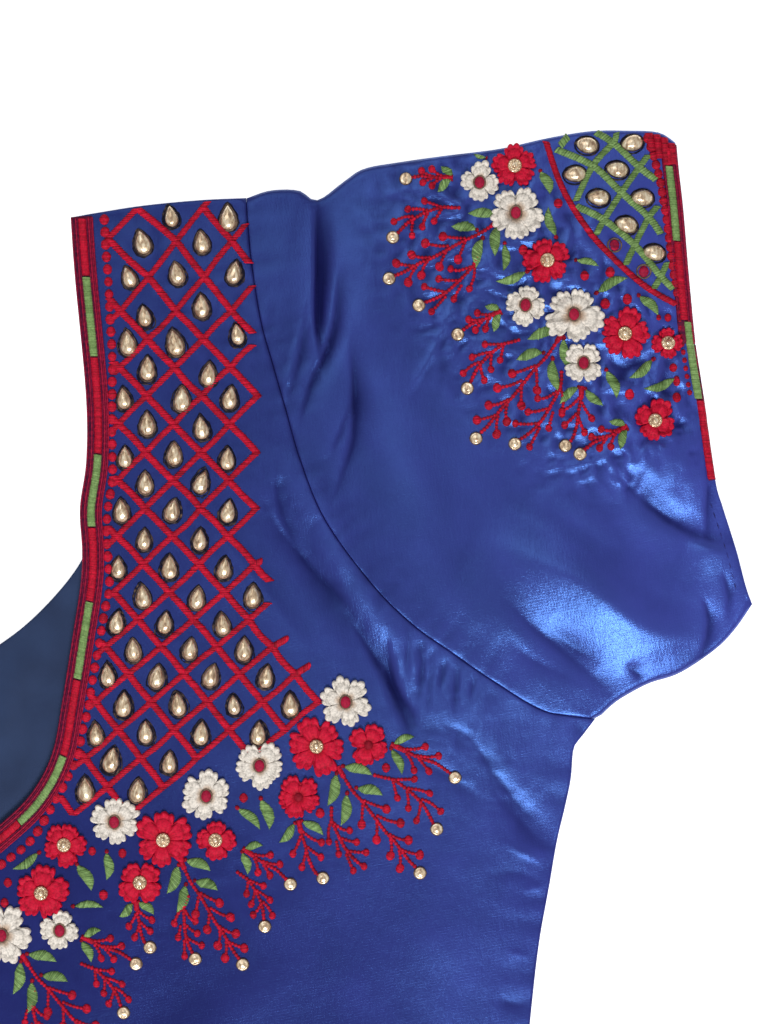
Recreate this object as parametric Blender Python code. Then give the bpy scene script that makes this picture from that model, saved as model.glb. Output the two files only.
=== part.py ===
"""A short-sleeved choli blouse, laid flat with its back panel uppermost.

Sizes are in millimetres: "out" is measured from the garment's centre line, "up" from the
shoulder line, so most of the garment has a negative "up". Meshes are scaled to metres.
The origin is on the surface it lies on, under the middle of its bounding box.
"""

import math

import bmesh
import bpy
from mathutils import Vector
from mathutils.geometry import delaunay_2d_cdt

for old in list(bpy.data.objects):
    bpy.data.objects.remove(old)

MM = 0.001
# Finishes: colour, roughness.
SATIN = ((0.036, 0.058, 0.300), 0.38)
LINING = ((0.016, 0.052, 0.118), 0.80)
RED_THREAD = ((0.560, 0.010, 0.030), 0.55)

SEAM_GAP = 0.3
WALL = 1.2
LINING_WALL = 1.0
HEM_UP = -371.0  # the hem's lowest line
TOP_UP = 24.8  # the highest point of the sleeves' fold
CENTRE_UP = (HEM_UP + TOP_UP) / 2

# ---------------------------------------------------------------- outlines
# Columns: out, up. Each is one side's, and the other side mirrors it.

SHOULDER = [(79.5, -4.0), (89.0, -2.3), (104.0, 0.0), (122.0, 1.7), (137.3, 2.4)]
BACK_NECK = [
    (79.5, -4.0), (80.9, -23.0), (84.6, -62.0), (84.8, -84.0), (82.7, -100.0),
    (83.4, -114.0), (82.9, -125.0), (80.0, -144.0), (76.8, -164.0), (73.5, -181.0),
    (66.7, -194.0), (56.1, -204.6), (40.0, -217.0), (20.0, -227.0), (0.0, -231.0),
]
FRONT_NECK = [
    (82.5, -4.0), (84.0, -25.0), (87.5, -64.0), (87.5, -84.0), (85.8, -100.0),
    (85.0, -112.0), (79.5, -122.4), (68.0, -135.3), (56.0, -144.9), (38.0, -155.5),
    (18.0, -163.5), (0.0, -166.0),
]
ARMHOLE = [
    (137.3, 2.4), (137.8, -6.0), (139.4, -21.0), (142.4, -38.9), (146.0, -52.0),
    (150.6, -68.0), (155.2, -84.0), (163.5, -104.0), (178.9, -125.1), (192.1, -138.3),
    (204.5, -147.2), (217.8, -156.4), (234.0, -166.3), (244.0, -168.6), (252.6, -169.6),
]
SIDE = [
    (252.6, -169.6), (248.4, -175.2), (245.5, -179.4), (244.6, -189.0), (242.8, -198.0),
    (240.0, -210.0), (237.2, -226.0), (234.3, -242.0), (232.3, -258.0), (229.6, -285.0),
    (226.0, -325.0), (223.0, -368.5),
]
HEM = [(223.0, -368.5), (150.0, -369.8), (70.0, -370.7), (0.0, HEM_UP)]
SLEEVE_FOLD = [
    (137.9, 2.6), (145.2, 5.0), (154.6, 5.0), (160.7, 1.8), (169.6, 8.0), (176.2, 12.2),
    (188.1, 14.4), (203.0, 16.5), (221.1, 18.8), (236.3, 22.2), (250.8, 24.6),
    (263.0, TOP_UP), (273.6, 24.2), (279.2, 20.8),
]
CUFF = [
    (279.2, 20.8), (280.0, 12.0), (281.5, -1.3), (283.5, -24.8), (285.6, -46.0),
    (288.4, -64.4), (292.2, -90.8), (294.6, -99.5), (298.6, -112.2), (302.6, -127.0),
    (304.6, -131.8),
]
UNDERARM = [
    (304.6, -131.8), (298.7, -140.3), (292.0, -147.0), (280.5, -154.6), (270.6, -157.9),
    (262.4, -162.2), (258.1, -165.2), (253.2, -169.9),
]

# ---------------------------------------------------------------- surface of the upper layer

RIM_TOP = 3.0  # outer height along seams and hems, where the two layers meet
LOFT = 3.2  # extra height away from them
LOFT_REACH = 24.0  # distance over which the loft builds up
NECK_TOP = 4.4  # outer height at the neckline, where the back lies on the lining
NECK_REACH = 26.0
NECK_STIFFNESS = 0.8  # share of a fold that the stiff embroidery by the neckline takes out
LOWEST_TOP = 3.0
LOWEST_BLEND = 0.5  # troughs level out over this much above the lowest height
RIM_FADE = 16.0  # folds weaken over this distance from a seam or hem
RIM_FOLD_SHARE = 0.25  # what is left of a fold right at the rim
PLACKET_LIFT = 1.5  # extra height down the centre, over the hook placket
PLACKET_REACH = 19.0

# Folds of the cloth. Columns: start out, start up, end out, end up, half width, height
# (a trough is negative). The wearer's two sides have folds of their own.
RIGHT_FOLDS = [
    (162.0, 8.0, 163.0, -58.0, 4.6, -8.0),
    (153.5, 8.0, 151.0, -46.0, 5.5, 5.4),
    (171.5, 10.0, 173.5, -66.0, 6.5, 7.0),
    (190.0, 16.0, 184.0, -40.0, 8.0, 2.2),
    (181.0, 14.0, 180.0, -50.0, 4.0, -3.4),
    (150.0, -62.0, 159.0, -30.0, 3.4, -3.2),
    (166.5, -74.0, 173.0, -58.0, 3.6, -3.0),
    (173.0, -46.0, 179.0, -94.0, 6.5, -2.8),
    (187.0, -60.0, 196.0, -108.0, 9.0, 2.2),
    (206.5, -33.0, 191.0, -62.0, 3.0, -1.8),
    (216.0, -92.0, 262.0, -128.0, 11.0, 4.4),
    (232.0, -84.0, 288.0, -106.0, 9.0, 3.4),
    (226.0, -104.0, 284.0, -134.0, 6.0, -2.6),
    (240.0, -128.0, 284.0, -146.0, 6.5, 2.8),
    (196.0, -116.0, 236.0, -150.0, 7.0, 2.4),
    (148.0, -100.0, 182.0, -154.0, 6.0, -1.8),
    (152.0, -92.0, 190.0, -150.0, 6.0, 2.0),
    (190.0, -152.0, 204.0, -178.0, 4.0, 2.6),
    (196.0, -150.0, 214.0, -182.0, 3.4, -2.4),
    (199.0, -172.0, 224.0, -190.0, 5.0, 3.8),
    (224.0, -190.0, 238.0, -209.0, 4.6, 3.4),
    (193.0, -186.0, 219.0, -202.0, 5.0, -2.8),
    (219.0, -202.0, 237.0, -211.0, 4.0, -2.6),
    (216.0, -210.0, 236.0, -219.0, 4.0, 2.6),
    (196.0, -236.0, 226.0, -262.0, 10.0, 1.8),
    (150.0, -268.0, 214.0, -306.0, 14.0, 2.4),
    (70.0, -284.0, 140.0, -330.0, 15.0, 2.2),
    (96.0, -300.0, 150.0, -350.0, 9.0, -1.8),
    (178.0, -300.0, 190.0, -366.0, 8.0, 2.0),
]
LEFT_FOLDS = [
    (159.0, 8.0, 161.0, -50.0, 4.6, -7.0),
    (150.5, 8.0, 150.0, -40.0, 5.5, 4.6),
    (169.0, 10.0, 170.0, -60.0, 6.5, 6.2),
    (186.0, 16.0, 190.0, -46.0, 8.0, 2.6),
    (178.0, 14.0, 182.0, -54.0, 4.2, -3.0),
    (152.0, -70.0, 165.0, -44.0, 3.6, -2.8),
    (176.0, -54.0, 184.0, -100.0, 6.5, -2.4),
    (196.0, -62.0, 204.0, -118.0, 9.0, 2.6),
    (206.0, -90.0, 256.0, -122.0, 10.0, 3.6),
    (238.0, -92.0, 290.0, -104.0, 9.0, 3.8),
    (222.0, -112.0, 276.0, -138.0, 6.0, -2.4),
    (236.0, -132.0, 280.0, -150.0, 6.0, 2.6),
    (150.0, -104.0, 188.0, -158.0, 7.0, -2.0),
    (186.0, -150.0, 206.0, -184.0, 4.4, 2.8),
    (204.0, -166.0, 222.0, -188.0, 4.4, -2.6),
    (200.0, -180.0, 234.0, -202.0, 5.4, 3.6),
    (196.0, -196.0, 232.0, -214.0, 4.6, -2.6),
    (190.0, -230.0, 228.0, -250.0, 9.0, 2.2),
    (130.0, -262.0, 210.0, -292.0, 14.0, 2.6),
    (60.0, -300.0, 128.0, -322.0, 15.0, 2.0),
    (158.0, -306.0, 172.0, -366.0, 9.0, 2.2),
    (88.0, -316.0, 120.0, -360.0, 8.0, -1.6),
]

# ---------------------------------------------------------------- raised embroidery

BORDER_WIDTH = 6.0
BORDER_RISE = 1.1
COLUMN_PITCH = 9.17  # half a diamond across
FIRST_COLUMN_OUT = 96.4
TOP_ROW_UP = -0.7
UPPER_ROW_PITCH = 11.2  # half a diamond high, in the first rows
UPPER_ROWS = 3
ROW_PITCH = 9.22
DRIFT_FROM_UP = -98.0  # below this the columns follow the neckline inwards
DRIFT_RATE = 0.00135
BAR_RISE = 0.8
LAST_COLUMN_OF_ROW = [4, 3, 4, 3, 4, 3, 4, 3, 4, 3, 4, 3, 4, 5, 4, 5, 6, 7, 6, 3, 2]
STONE_HALF_WIDTH = 2.5
STONE_HALF_HEIGHT = 4.0
STONE_RISE = 2.4
STONE_SHOULDER = 0.66  # where the stone's dome turns over, as a share of its outline

# Columns: out, up, radius.
BODY_FLOWERS = [
    (170.3, -163.7, 8.2), (159.4, -179.2, 9.6), (177.5, -177.9, 6.4), (141.6, -184.5, 8.2),
    (154.4, -194.7, 7.0), (124.4, -194.7, 7.8), (110.2, -209.2, 9.0), (127.6, -209.6, 6.2),
    (94.1, -203.3, 7.6), (101.8, -224.4, 7.0), (77.5, -210.9, 6.6), (70.0, -226.7, 8.2),
    (75.8, -241.4, 6.6), (57.1, -240.6, 9.0), (40.0, -233.5, 7.6), (36.5, -251.5, 8.6),
    (18.5, -246.5, 8.6),
]
CENTRE_FLOWER = (0.0, -250.5, 9.4)
SLEEVE_FLOWERS = [
    (213.8, 6.9, 6.6), (226.1, -2.3, 8.4), (229.7, -32.7, 6.6), (245.5, -36.3, 8.8),
    (248.8, -53.6, 6.6), (226.0, 13.4, 5.6), (236.6, -16.8, 7.8), (262.4, -40.6, 7.8),
    (273.6, -45.8, 4.6), (271.9, -70.3, 7.2),
]
FLOWER_PETALS = 7
FLOWER_RISE = 1.5
PATCH_STONES = [
    (249.8, 19.6), (264.7, 19.8), (259.7, 11.4), (246.6, 10.4), (253.4, 2.3),
    (268.0, 2.3), (262.7, -6.6), (271.6, -15.8),
]
PATCH_CORD = [
    (237.6, 20.2), (240.6, 7.9), (245.9, -2.3), (252.8, -11.9), (261.4, -20.5),
    (270.0, -27.6), (279.0, -32.0),
]
PATCH_CORD_RISE = 1.1
PATCH_CORD_HALF_WIDTH = 1.7
CUFF_BORDER_END = 0.565  # share of the cuff's length that the border runs down

# ---------------------------------------------------------------- lining and placket

LINING_OVERLAP = 22.0  # how far the lining runs on under the back
LINING_TOP_UP = -104.0  # the lining begins here, under the back's straps
LINING_INSET = 0.6  # its edge lies this far inside the front's edge at the centre
LINING_FADE = 12.0  # the creases die away over this distance from the back's neckline
# Columns as for the folds above.
LINING_CREASES = [
    (66.0, -152.0, 55.0, -178.0, 4.0, 0.7),
    (68.0, -186.0, 58.0, -202.0, 3.5, 0.6),
    (40.0, -170.0, 34.0, -205.0, 5.0, 0.6),
    (18.0, -178.0, 22.0, -214.0, 5.0, 0.5),
]
PLACKET_HALF_WIDTH = 11.0
PLACKET_TOP_INSET = 0.8
PLACKET_HEM_INSET = 2.5
FRONT_HEM_INSET = 1.0  # the fronts end this much above the back's hem

# ---------------------------------------------------------------- spacing of the mesh's points

OUTLINE_SPACING = 8.0
NECK_SPACING = 6.0
BODY_GRID = 14.0
SLEEVE_GRID = 8.5
INNER_GRID = 22.0
FLAT_GRID = 45.0
LINING_GRID = 14.0
CORD_SPACING = 5.0
DEEP_FOLD = 2.1  # a fold this high or deep has its own lines of points
FOLD_FEET = 0.95  # where its feet lie, in half widths
FOLD_LINE_SPACING = 7.5
FOLD_POINTS_APART = 3.5
MOTIF_POINTS_APART = 0.7
CLEAR_OF_MOTIF = 5.0  # from a grid's points to those of a motif
CLEAR_OF_OUTLINE = 5.0  # from a grid's points to the outline
RAISED_CLEAR_OF_EDGE = 1.6  # from a raised point to the outline
FOLD_CLEAR_OF_EDGE = 2.4


def smooth_path(points, spacing):
    """Points at even distances along a Catmull-Rom curve through the given ones."""
    ends = [points[0]] + list(points) + [points[-1]]
    dense = []
    for i in range(1, len(ends) - 2):
        a, b, c, d = (Vector(p) for p in ends[i - 1:i + 3])
        for step in range(12):
            t = step / 12
            dense.append(0.5 * (2 * b + (c - a) * t + (2 * a - 5 * b + 4 * c - d) * t ** 2
                                + (3 * b - a - 3 * c + d) * t ** 3))
    dense.append(Vector(points[-1]))
    run = [0.0]
    for a, b in zip(dense, dense[1:]):
        run.append(run[-1] + (b - a).length)
    count = max(1, round(run[-1] / spacing))
    out = []
    k = 0
    for i in range(count + 1):
        want = run[-1] * i / count
        while k < len(run) - 2 and run[k + 1] < want:
            k += 1
        share = (want - run[k]) / max(run[k + 1] - run[k], 1e-9)
        out.append(tuple(dense[k].lerp(dense[k + 1], min(share, 1.0))))
    return out


def mirrored(points):
    return [(-out, up) for out, up in points]


def offset_path(points, distance):
    """The path moved sideways, to the left of its direction."""
    moved = []
    for i, here in enumerate(points):
        before = Vector(points[max(i - 1, 0)])
        after = Vector(points[min(i + 1, len(points) - 1)])
        along = (after - before).normalized()
        moved.append((here[0] - along.y * distance, here[1] + along.x * distance))
    return moved


def distance_to_segment(p, a, b):
    """(distance, share along) of point p from the segment a to b."""
    along_x, along_y = b[0] - a[0], b[1] - a[1]
    share = ((p[0] - a[0]) * along_x + (p[1] - a[1]) * along_y)
    share = min(1.0, max(0.0, share / (along_x ** 2 + along_y ** 2)))
    near = (a[0] + along_x * share, a[1] + along_y * share)
    return math.dist(p, near), share


def distance_to_path(p, path):
    return min(distance_to_segment(p, a, b)[0] for a, b in zip(path, path[1:]))


def inside(p, polygon):
    """Whether p lies inside the closed polygon."""
    found = False
    for a, b in zip(polygon, polygon[1:] + polygon[:1]):
        if (a[1] > p[1]) != (b[1] > p[1]):
            if p[0] < a[0] + (b[0] - a[0]) * (p[1] - a[1]) / (b[1] - a[1]):
                found = not found
    return found


OUTER_EDGE = SHOULDER[:-1] + SLEEVE_FOLD[1:] + CUFF[1:] + UNDERARM[1:] + SIDE[1:] + HEM[1:]


def fold_height(out, up, folds):
    """The folds' rises and troughs at one point, each fading towards its two ends."""
    total = 0.0
    for out_a, up_a, out_b, up_b, half_width, height in folds:
        away, share = distance_to_segment((out, up), (out_a, up_a), (out_b, up_b))
        if away < 3 * half_width:
            along = math.sin(math.pi * (0.12 + 0.76 * share))
            total += height * math.exp(-(away / half_width) ** 2) * along
    return total


def upper_height(out, up):
    """Outer height of the upper layer, over body and sleeves alike."""
    side = abs(out)
    rim = distance_to_path((side, up), OUTER_EDGE)
    neck = distance_to_path((side, up), BACK_NECK)
    near_neck = math.exp(-(neck / NECK_REACH) ** 2)
    built_up = 1 - math.exp(-(rim / LOFT_REACH) ** 1.5)
    height = RIM_TOP + LOFT * built_up * (1 - near_neck)
    height += (NECK_TOP - RIM_TOP) * built_up * near_neck
    height += PLACKET_LIFT * math.exp(-(side / PLACKET_REACH) ** 4) * (1 - near_neck)
    folds = RIGHT_FOLDS if out > 0 else LEFT_FOLDS
    freedom = (1 - NECK_STIFFNESS * near_neck)
    freedom *= RIM_FOLD_SHARE + (1 - RIM_FOLD_SHARE) * min(1.0, rim / RIM_FADE)
    height += freedom * fold_height(side, up, folds)
    excess = height - LOWEST_TOP - LOWEST_BLEND
    if excess < 0:
        height = LOWEST_TOP + LOWEST_BLEND * math.exp(excess / LOWEST_BLEND)
    return height


def grid_points(polygon, spacing, fixed=()):
    """A hexagonal grid inside the polygon, clear of its outline and of the fixed points."""
    cell = CLEAR_OF_MOTIF
    buckets = {}
    for p in fixed:
        buckets.setdefault((int(p[0] // cell), int(p[1] // cell)), []).append(p)
    outs = [p[0] for p in polygon]
    ups = [p[1] for p in polygon]
    closed = polygon + polygon[:1]
    found = []
    row = 0
    up = min(ups) + spacing / 2
    while up < max(ups):
        out = min(outs) + spacing * (0.25 + 0.5 * (row % 2))
        while out < max(outs):
            p = (out, up)
            out += spacing
            if not inside(p, polygon) or distance_to_path(p, closed) < CLEAR_OF_OUTLINE:
                continue
            cx, cy = int(p[0] // cell), int(p[1] // cell)
            near = [q for i in (-1, 0, 1) for j in (-1, 0, 1)
                    for q in buckets.get((cx + i, cy + j), [])]
            if all(math.dist(p, q[:2]) >= CLEAR_OF_MOTIF for q in near):
                found.append(p)
        row += 1
        up += spacing * math.sqrt(3) / 2
    return found


def fill(outline, points):
    """Triangles, turning anticlockwise, that fill the outline through the inner points."""
    every = [Vector(p[:2]) for p in list(outline) + list(points)]
    count = len(outline)
    edges = [(i, (i + 1) % count) for i in range(count)]
    verts, _, faces, origins, _, _ = delaunay_2d_cdt(every, edges, [], 0, 1e-6)
    back = [source[0] for source in origins]
    polygon = [tuple(p[:2]) for p in outline]
    kept = []
    for face in faces:
        a, b, c = (verts[i] for i in face)
        middle = (a + b + c) / 3
        if inside((middle.x, middle.y), polygon):
            turn = (b - a).cross(c - a)
            order = face if turn > 0 else face[::-1]
            kept.append(tuple(back[i] for i in order))
    return kept


def cloth(name, colour, roughness):
    material = bpy.data.materials.new(name)
    material.use_nodes = True
    shader = material.node_tree.nodes["Principled BSDF"]
    shader.inputs["Base Color"].default_value = (*colour, 1)
    shader.inputs["Roughness"].default_value = roughness
    material.diffuse_color = (*colour, 1)
    return material


def make_object(name, verts, faces, finish):
    """A closed mesh object, its places turned from the garment's millimetres to metres."""
    shape = bmesh.new()
    made = [shape.verts.new((x * MM, (y - CENTRE_UP) * MM, z * MM)) for x, y, z in verts]
    for face in faces:
        shape.faces.new([made[i] for i in face])
    bmesh.ops.recalc_face_normals(shape, faces=shape.faces)
    mesh = bpy.data.meshes.new(name)
    shape.to_mesh(mesh)
    shape.free()
    mesh.materials.append(cloth(name + "_cloth", *finish))
    mesh.shade_smooth()
    mesh.set_sharp_from_angle(angle=math.radians(50))
    built = bpy.data.objects.new(name, mesh)
    bpy.context.collection.objects.link(built)
    return built


def wall(name, outline, top_points, bottom_points, top, bottom, finish):
    """A closed wall over the outline. Points are (out, up) or (out, up, lift)."""
    count = len(outline)
    verts = []
    for p in list(outline) + list(top_points):
        lift = p[2] if len(p) > 2 else 0.0
        verts.append((p[0], p[1], top(p[0], p[1]) + lift))
    faces = fill(outline, top_points)
    start = len(verts)
    for p in list(outline) + list(bottom_points):
        verts.append((p[0], p[1], bottom(p[0], p[1])))
    faces += [tuple(start + i for i in face[::-1]) for face in fill(outline, bottom_points)]
    for i in range(count):
        j = (i + 1) % count
        faces.append((i, start + i, start + j))
        faces.append((i, start + j, j))
    return make_object(name, verts, faces, finish)


def strip(name, edge, width, finish, rise):
    """A crowned edging along the neckline or cuff, just above the upper layer's own points."""
    across = [0.0, width / 2, width]
    lines = [offset_path(edge, distance) for distance in across]
    verts = []
    for i in range(len(edge)):
        under = [(*line[i], upper_height(*line[i]) + SEAM_GAP) for line in lines]
        verts += under
        for (x, y, z), share in zip(under, (0.75, 1.0, 0.75)):
            verts.append((x, y, z + rise * share))
    ring = [0, 1, 2, 5, 4, 3]
    faces = []
    for i in range(len(edge) - 1):
        for k in range(6):
            a, b = ring[k], ring[(k + 1) % 6]
            low, high = 6 * i, 6 * (i + 1)
            faces += [(low + a, low + b, high + b), (low + a, high + b, high + a)]
    for start in (0, 6 * (len(edge) - 1)):
        a, b, c, d, e, f = (start + k for k in ring)
        faces += [(a, b, e), (a, e, f), (b, c, d), (b, d, e)]
    return make_object(name, verts, faces, finish)


# ---------------------------------------------------------------- the raised motifs


def drift(up):
    below = max(0.0, DRIFT_FROM_UP - up)
    return -DRIFT_RATE * below ** 2


def row_up(row):
    upper = min(row, UPPER_ROWS)
    return TOP_ROW_UP - UPPER_ROW_PITCH * upper - ROW_PITCH * (row - upper)


def lattice_place(column, row):
    up = row_up(row)
    return FIRST_COLUMN_OUT + COLUMN_PITCH * column + drift(up), up


def stone_points(out, up, turn=0.0):
    """A teardrop stone: a pointed six-sided rim, a turned-over shoulder and a crown."""
    rim = []
    for k in range(6):
        angle = math.pi / 2 + k * math.pi / 3
        narrow = 1.0 - 0.25 * math.sin(angle)
        x = STONE_HALF_WIDTH * math.cos(angle) * narrow
        y = STONE_HALF_HEIGHT * math.sin(angle)
        rim.append((x * math.cos(turn) - y * math.sin(turn),
                    x * math.sin(turn) + y * math.cos(turn)))
    points = [(out + x, up + y, 0.2) for x, y in rim]
    points += [(out + STONE_SHOULDER * x, up + STONE_SHOULDER * y - 0.2, 0.8 * STONE_RISE)
               for x, y in rim]
    return points + [(out, up - 0.6, STONE_RISE)]


def flower_points(out, up, radius):
    """A flower: a scalloped foot, full petals, a dished middle and a raised stud."""
    points = []
    for k in range(FLOWER_PETALS):
        petal = 2 * math.pi * k / FLOWER_PETALS
        valley = petal + math.pi / FLOWER_PETALS
        for angle, reach, lift in ((petal, 1.0, 0.0), (valley, 0.80, 0.0),
                                   (petal, 0.84, FLOWER_RISE), (valley, 0.46, 0.6)):
            points.append((out + reach * radius * math.cos(angle),
                           up + reach * radius * math.sin(angle), lift))
    points.append((out, up, FLOWER_RISE + 0.3))
    return points


def lattice_points():
    """The lattice's crossings, raised, and the stones in its diamonds, on one side."""
    crossings = set()
    points = []
    for row, last in enumerate(LAST_COLUMN_OF_ROW):
        for column in range(row % 2, last + 1, 2):
            points += stone_points(*lattice_place(column, row))
            for a, b in ((1, 0), (-1, 0), (0, 1), (0, -1)):
                crossings.add((column + a, row + b))
    for column, row in sorted(crossings):
        if column >= 0 and row > 0:
            points.append((*lattice_place(column, row), BAR_RISE))
    return points


def cord_points(path, half_width, rise):
    """A raised cord: a crest line between two feet."""
    points = [(*p, rise) for p in path]
    for distance in (-half_width, half_width):
        points += [(*p, 0.0) for p in offset_path(path, distance)]
    return points


def spaced(points, least, taken=()):
    """The points in order, leaving out each that is closer than `least` to one kept."""
    kept = list(taken)
    first = len(kept)
    for p in points:
        if all(math.dist(p[:2], q[:2]) >= least for q in kept):
            kept.append(p)
    return kept[first:]


def within(points, polygon, clear):
    closed = polygon + polygon[:1]
    return [p for p in points
            if inside(p[:2], polygon) and distance_to_path(p[:2], closed) >= clear]


def fold_lines(folds, direction):
    """Points along the crest and feet of each deep fold, so that the mesh follows it."""
    points = []
    for out_a, up_a, out_b, up_b, half_width, height in folds:
        if abs(height) < DEEP_FOLD:
            continue
        crest = smooth_path([(out_a, up_a), (out_b, up_b)], FOLD_LINE_SPACING)
        points += crest
        points += offset_path(crest, FOLD_FEET * half_width)
        points += offset_path(crest, -FOLD_FEET * half_width)
    return [(direction * out, up) for out, up in spaced(points, FOLD_POINTS_APART)]


def both_sides(points):
    return points + [(-p[0], *p[1:]) for p in points]


# ---------------------------------------------------------------- the pieces

neck_edge = smooth_path(BACK_NECK, NECK_SPACING)
full_neck = neck_edge + mirrored(neck_edge)[-2::-1]
shoulder = smooth_path(SHOULDER, OUTLINE_SPACING)
armhole = smooth_path(ARMHOLE, OUTLINE_SPACING)
side = smooth_path(SIDE, OUTLINE_SPACING)
hem = smooth_path(HEM, 2 * OUTLINE_SPACING)
half_rim = shoulder + armhole[1:] + side[1:] + hem[1:]


def back_panel():
    """The back in one piece; stones, lattice and flowers are raised in its outer points."""
    outline = half_rim + mirrored(half_rim)[-2::-1] + full_neck[-2:0:-1]
    border = offset_path(full_neck, BORDER_WIDTH / 2) + offset_path(full_neck, BORDER_WIDTH)
    border = within(border, outline, RAISED_CLEAR_OF_EDGE)
    flowers = [p for flower in BODY_FLOWERS for p in flower_points(*flower)]
    motifs = both_sides(flowers + lattice_points()) + flower_points(*CENTRE_FLOWER)
    motifs = within(motifs, outline, RAISED_CLEAR_OF_EDGE)
    fixed = border + spaced(motifs, MOTIF_POINTS_APART, border)
    creases = fold_lines(RIGHT_FOLDS, 1) + fold_lines(LEFT_FOLDS, -1)
    creases = within(creases, outline, FOLD_CLEAR_OF_EDGE)
    fixed += spaced(creases, FOLD_POINTS_APART, fixed)
    return wall("back_panel", outline, fixed + grid_points(outline, BODY_GRID, fixed),
                border + grid_points(outline, INNER_GRID, border), upper_height,
                lambda out, up: upper_height(out, up) - WALL, SATIN)


def front_panel(name, direction):
    """One front, flat underneath, from the shoulder to the plain centre opening."""
    neck = smooth_path(FRONT_NECK, NECK_SPACING)
    top = smooth_path([neck[0]] + SHOULDER[2:], OUTLINE_SPACING)
    low = [(out, up + FRONT_HEM_INSET) for out, up in hem[1:-1]]
    centre = [(SEAM_GAP, HEM_UP + FRONT_HEM_INSET), (SEAM_GAP, neck[-1][1])]
    ring = top + armhole[1:] + side[1:] + low + centre + neck[-2:0:-1]
    outline = [(direction * out, up) for out, up in ring]
    inner = grid_points(outline, FLAT_GRID)
    return wall(name, outline, inner, inner, lambda out, up: WALL,
                lambda out, up: 0.0, SATIN)


def lining_height(out, up):
    """The lining's upper side, with low soft creases."""
    fade = min(1.0, distance_to_path((abs(out), up), BACK_NECK) / LINING_FADE)
    return WALL + SEAM_GAP + LINING_WALL + fade * fold_height(abs(out), up, LINING_CREASES)


def front_lining(name, direction):
    """The dark inside of one front, round where the back's neck opening shows it."""
    centre = PLACKET_HALF_WIDTH + SEAM_GAP
    neck = [p for p in smooth_path(FRONT_NECK, NECK_SPACING)
            if p[1] < LINING_TOP_UP and p[0] > centre + LINING_INSET]
    low = [p for p in smooth_path(BACK_NECK, NECK_SPACING) if p[1] < LINING_TOP_UP]
    foot = offset_path(low, LINING_OVERLAP)
    ring = [(centre, foot[-1][1])]
    ring += [p for p in foot[::-1] if p[0] > centre + LINING_INSET]
    ring += neck + [(centre, FRONT_NECK[-1][1] + LINING_INSET)]
    outline = [(direction * out, up) for out, up in ring]
    return wall(name, outline, grid_points(outline, LINING_GRID), [], lining_height,
                lambda out, up: WALL + SEAM_GAP, LINING)


def hook_placket():
    """The strip behind the centre opening, from the front neckline to the hem."""
    low = HEM_UP + PLACKET_HEM_INSET
    high = FRONT_NECK[-1][1] + PLACKET_TOP_INSET
    half = PLACKET_HALF_WIDTH
    outline = [(-half, low), (half, low), (half, high), (-half, high)]
    return wall("hook_placket", outline, [], [],
                lambda out, up: WALL + SEAM_GAP + LINING_WALL,
                lambda out, up: WALL + SEAM_GAP, LINING)


def sleeve_ring():
    """The flattened sleeve's outline, and where its four runs begin: fold, cuff, underarm, cap."""
    fold = smooth_path(SLEEVE_FOLD, OUTLINE_SPACING)
    cuff = smooth_path(CUFF, OUTLINE_SPACING)
    under = smooth_path(UNDERARM, OUTLINE_SPACING)
    cap = offset_path(armhole, SEAM_GAP)[::-1]
    fold[0], under[-1] = cap[-1], cap[0]
    ring = []
    starts = []
    for run in (fold, cuff, under, cap):
        starts.append(len(ring))
        ring += run[:-1]
    return ring, starts


def inset_ring(ring, starts):
    """The hollow's outline: in by a wall along the fold and the underarm seam."""
    count = len(ring)
    fold, cuff, under, cap = starts
    moved = list(ring)
    for start, stop in ((fold, cuff), (under, cap)):
        for k in range(start, stop + 1):
            here, before, after = ring[k], ring[k - 1], ring[(k + 1) % count]
            if k == start:
                along = Vector(before) - Vector(here)
            elif k == stop:
                along = Vector(after) - Vector(here)
            else:
                along = (Vector(after) - Vector(before)).orthogonal() * -1
            shift = along.normalized() * WALL
            moved[k] = (here[0] + shift.x, here[1] + shift.y)
    return moved


def sleeve_relief(outline, direction):
    """The cuff border's seat, and the raised stones, flowers and cord, in that order."""
    edge = cuff_edge()
    border = offset_path(edge, BORDER_WIDTH) + offset_path(edge, BORDER_WIDTH / 2)
    motifs = [p for stone in PATCH_STONES for p in stone_points(*stone, turn=math.pi / 2)]
    motifs += cord_points(smooth_path(PATCH_CORD, CORD_SPACING), PATCH_CORD_HALF_WIDTH,
                          PATCH_CORD_RISE)
    motifs += [p for flower in SLEEVE_FLOWERS for p in flower_points(*flower)]
    motifs = [p for p in motifs if distance_to_path(p[:2], edge) > BORDER_WIDTH + 1.0]
    border = within([(direction * out, up) for out, up in border], outline,
                    RAISED_CLEAR_OF_EDGE / 2)
    motifs = within([(direction * p[0], *p[1:]) for p in motifs], outline,
                    RAISED_CLEAR_OF_EDGE)
    return border + spaced(motifs, MOTIF_POINTS_APART, border)


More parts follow.
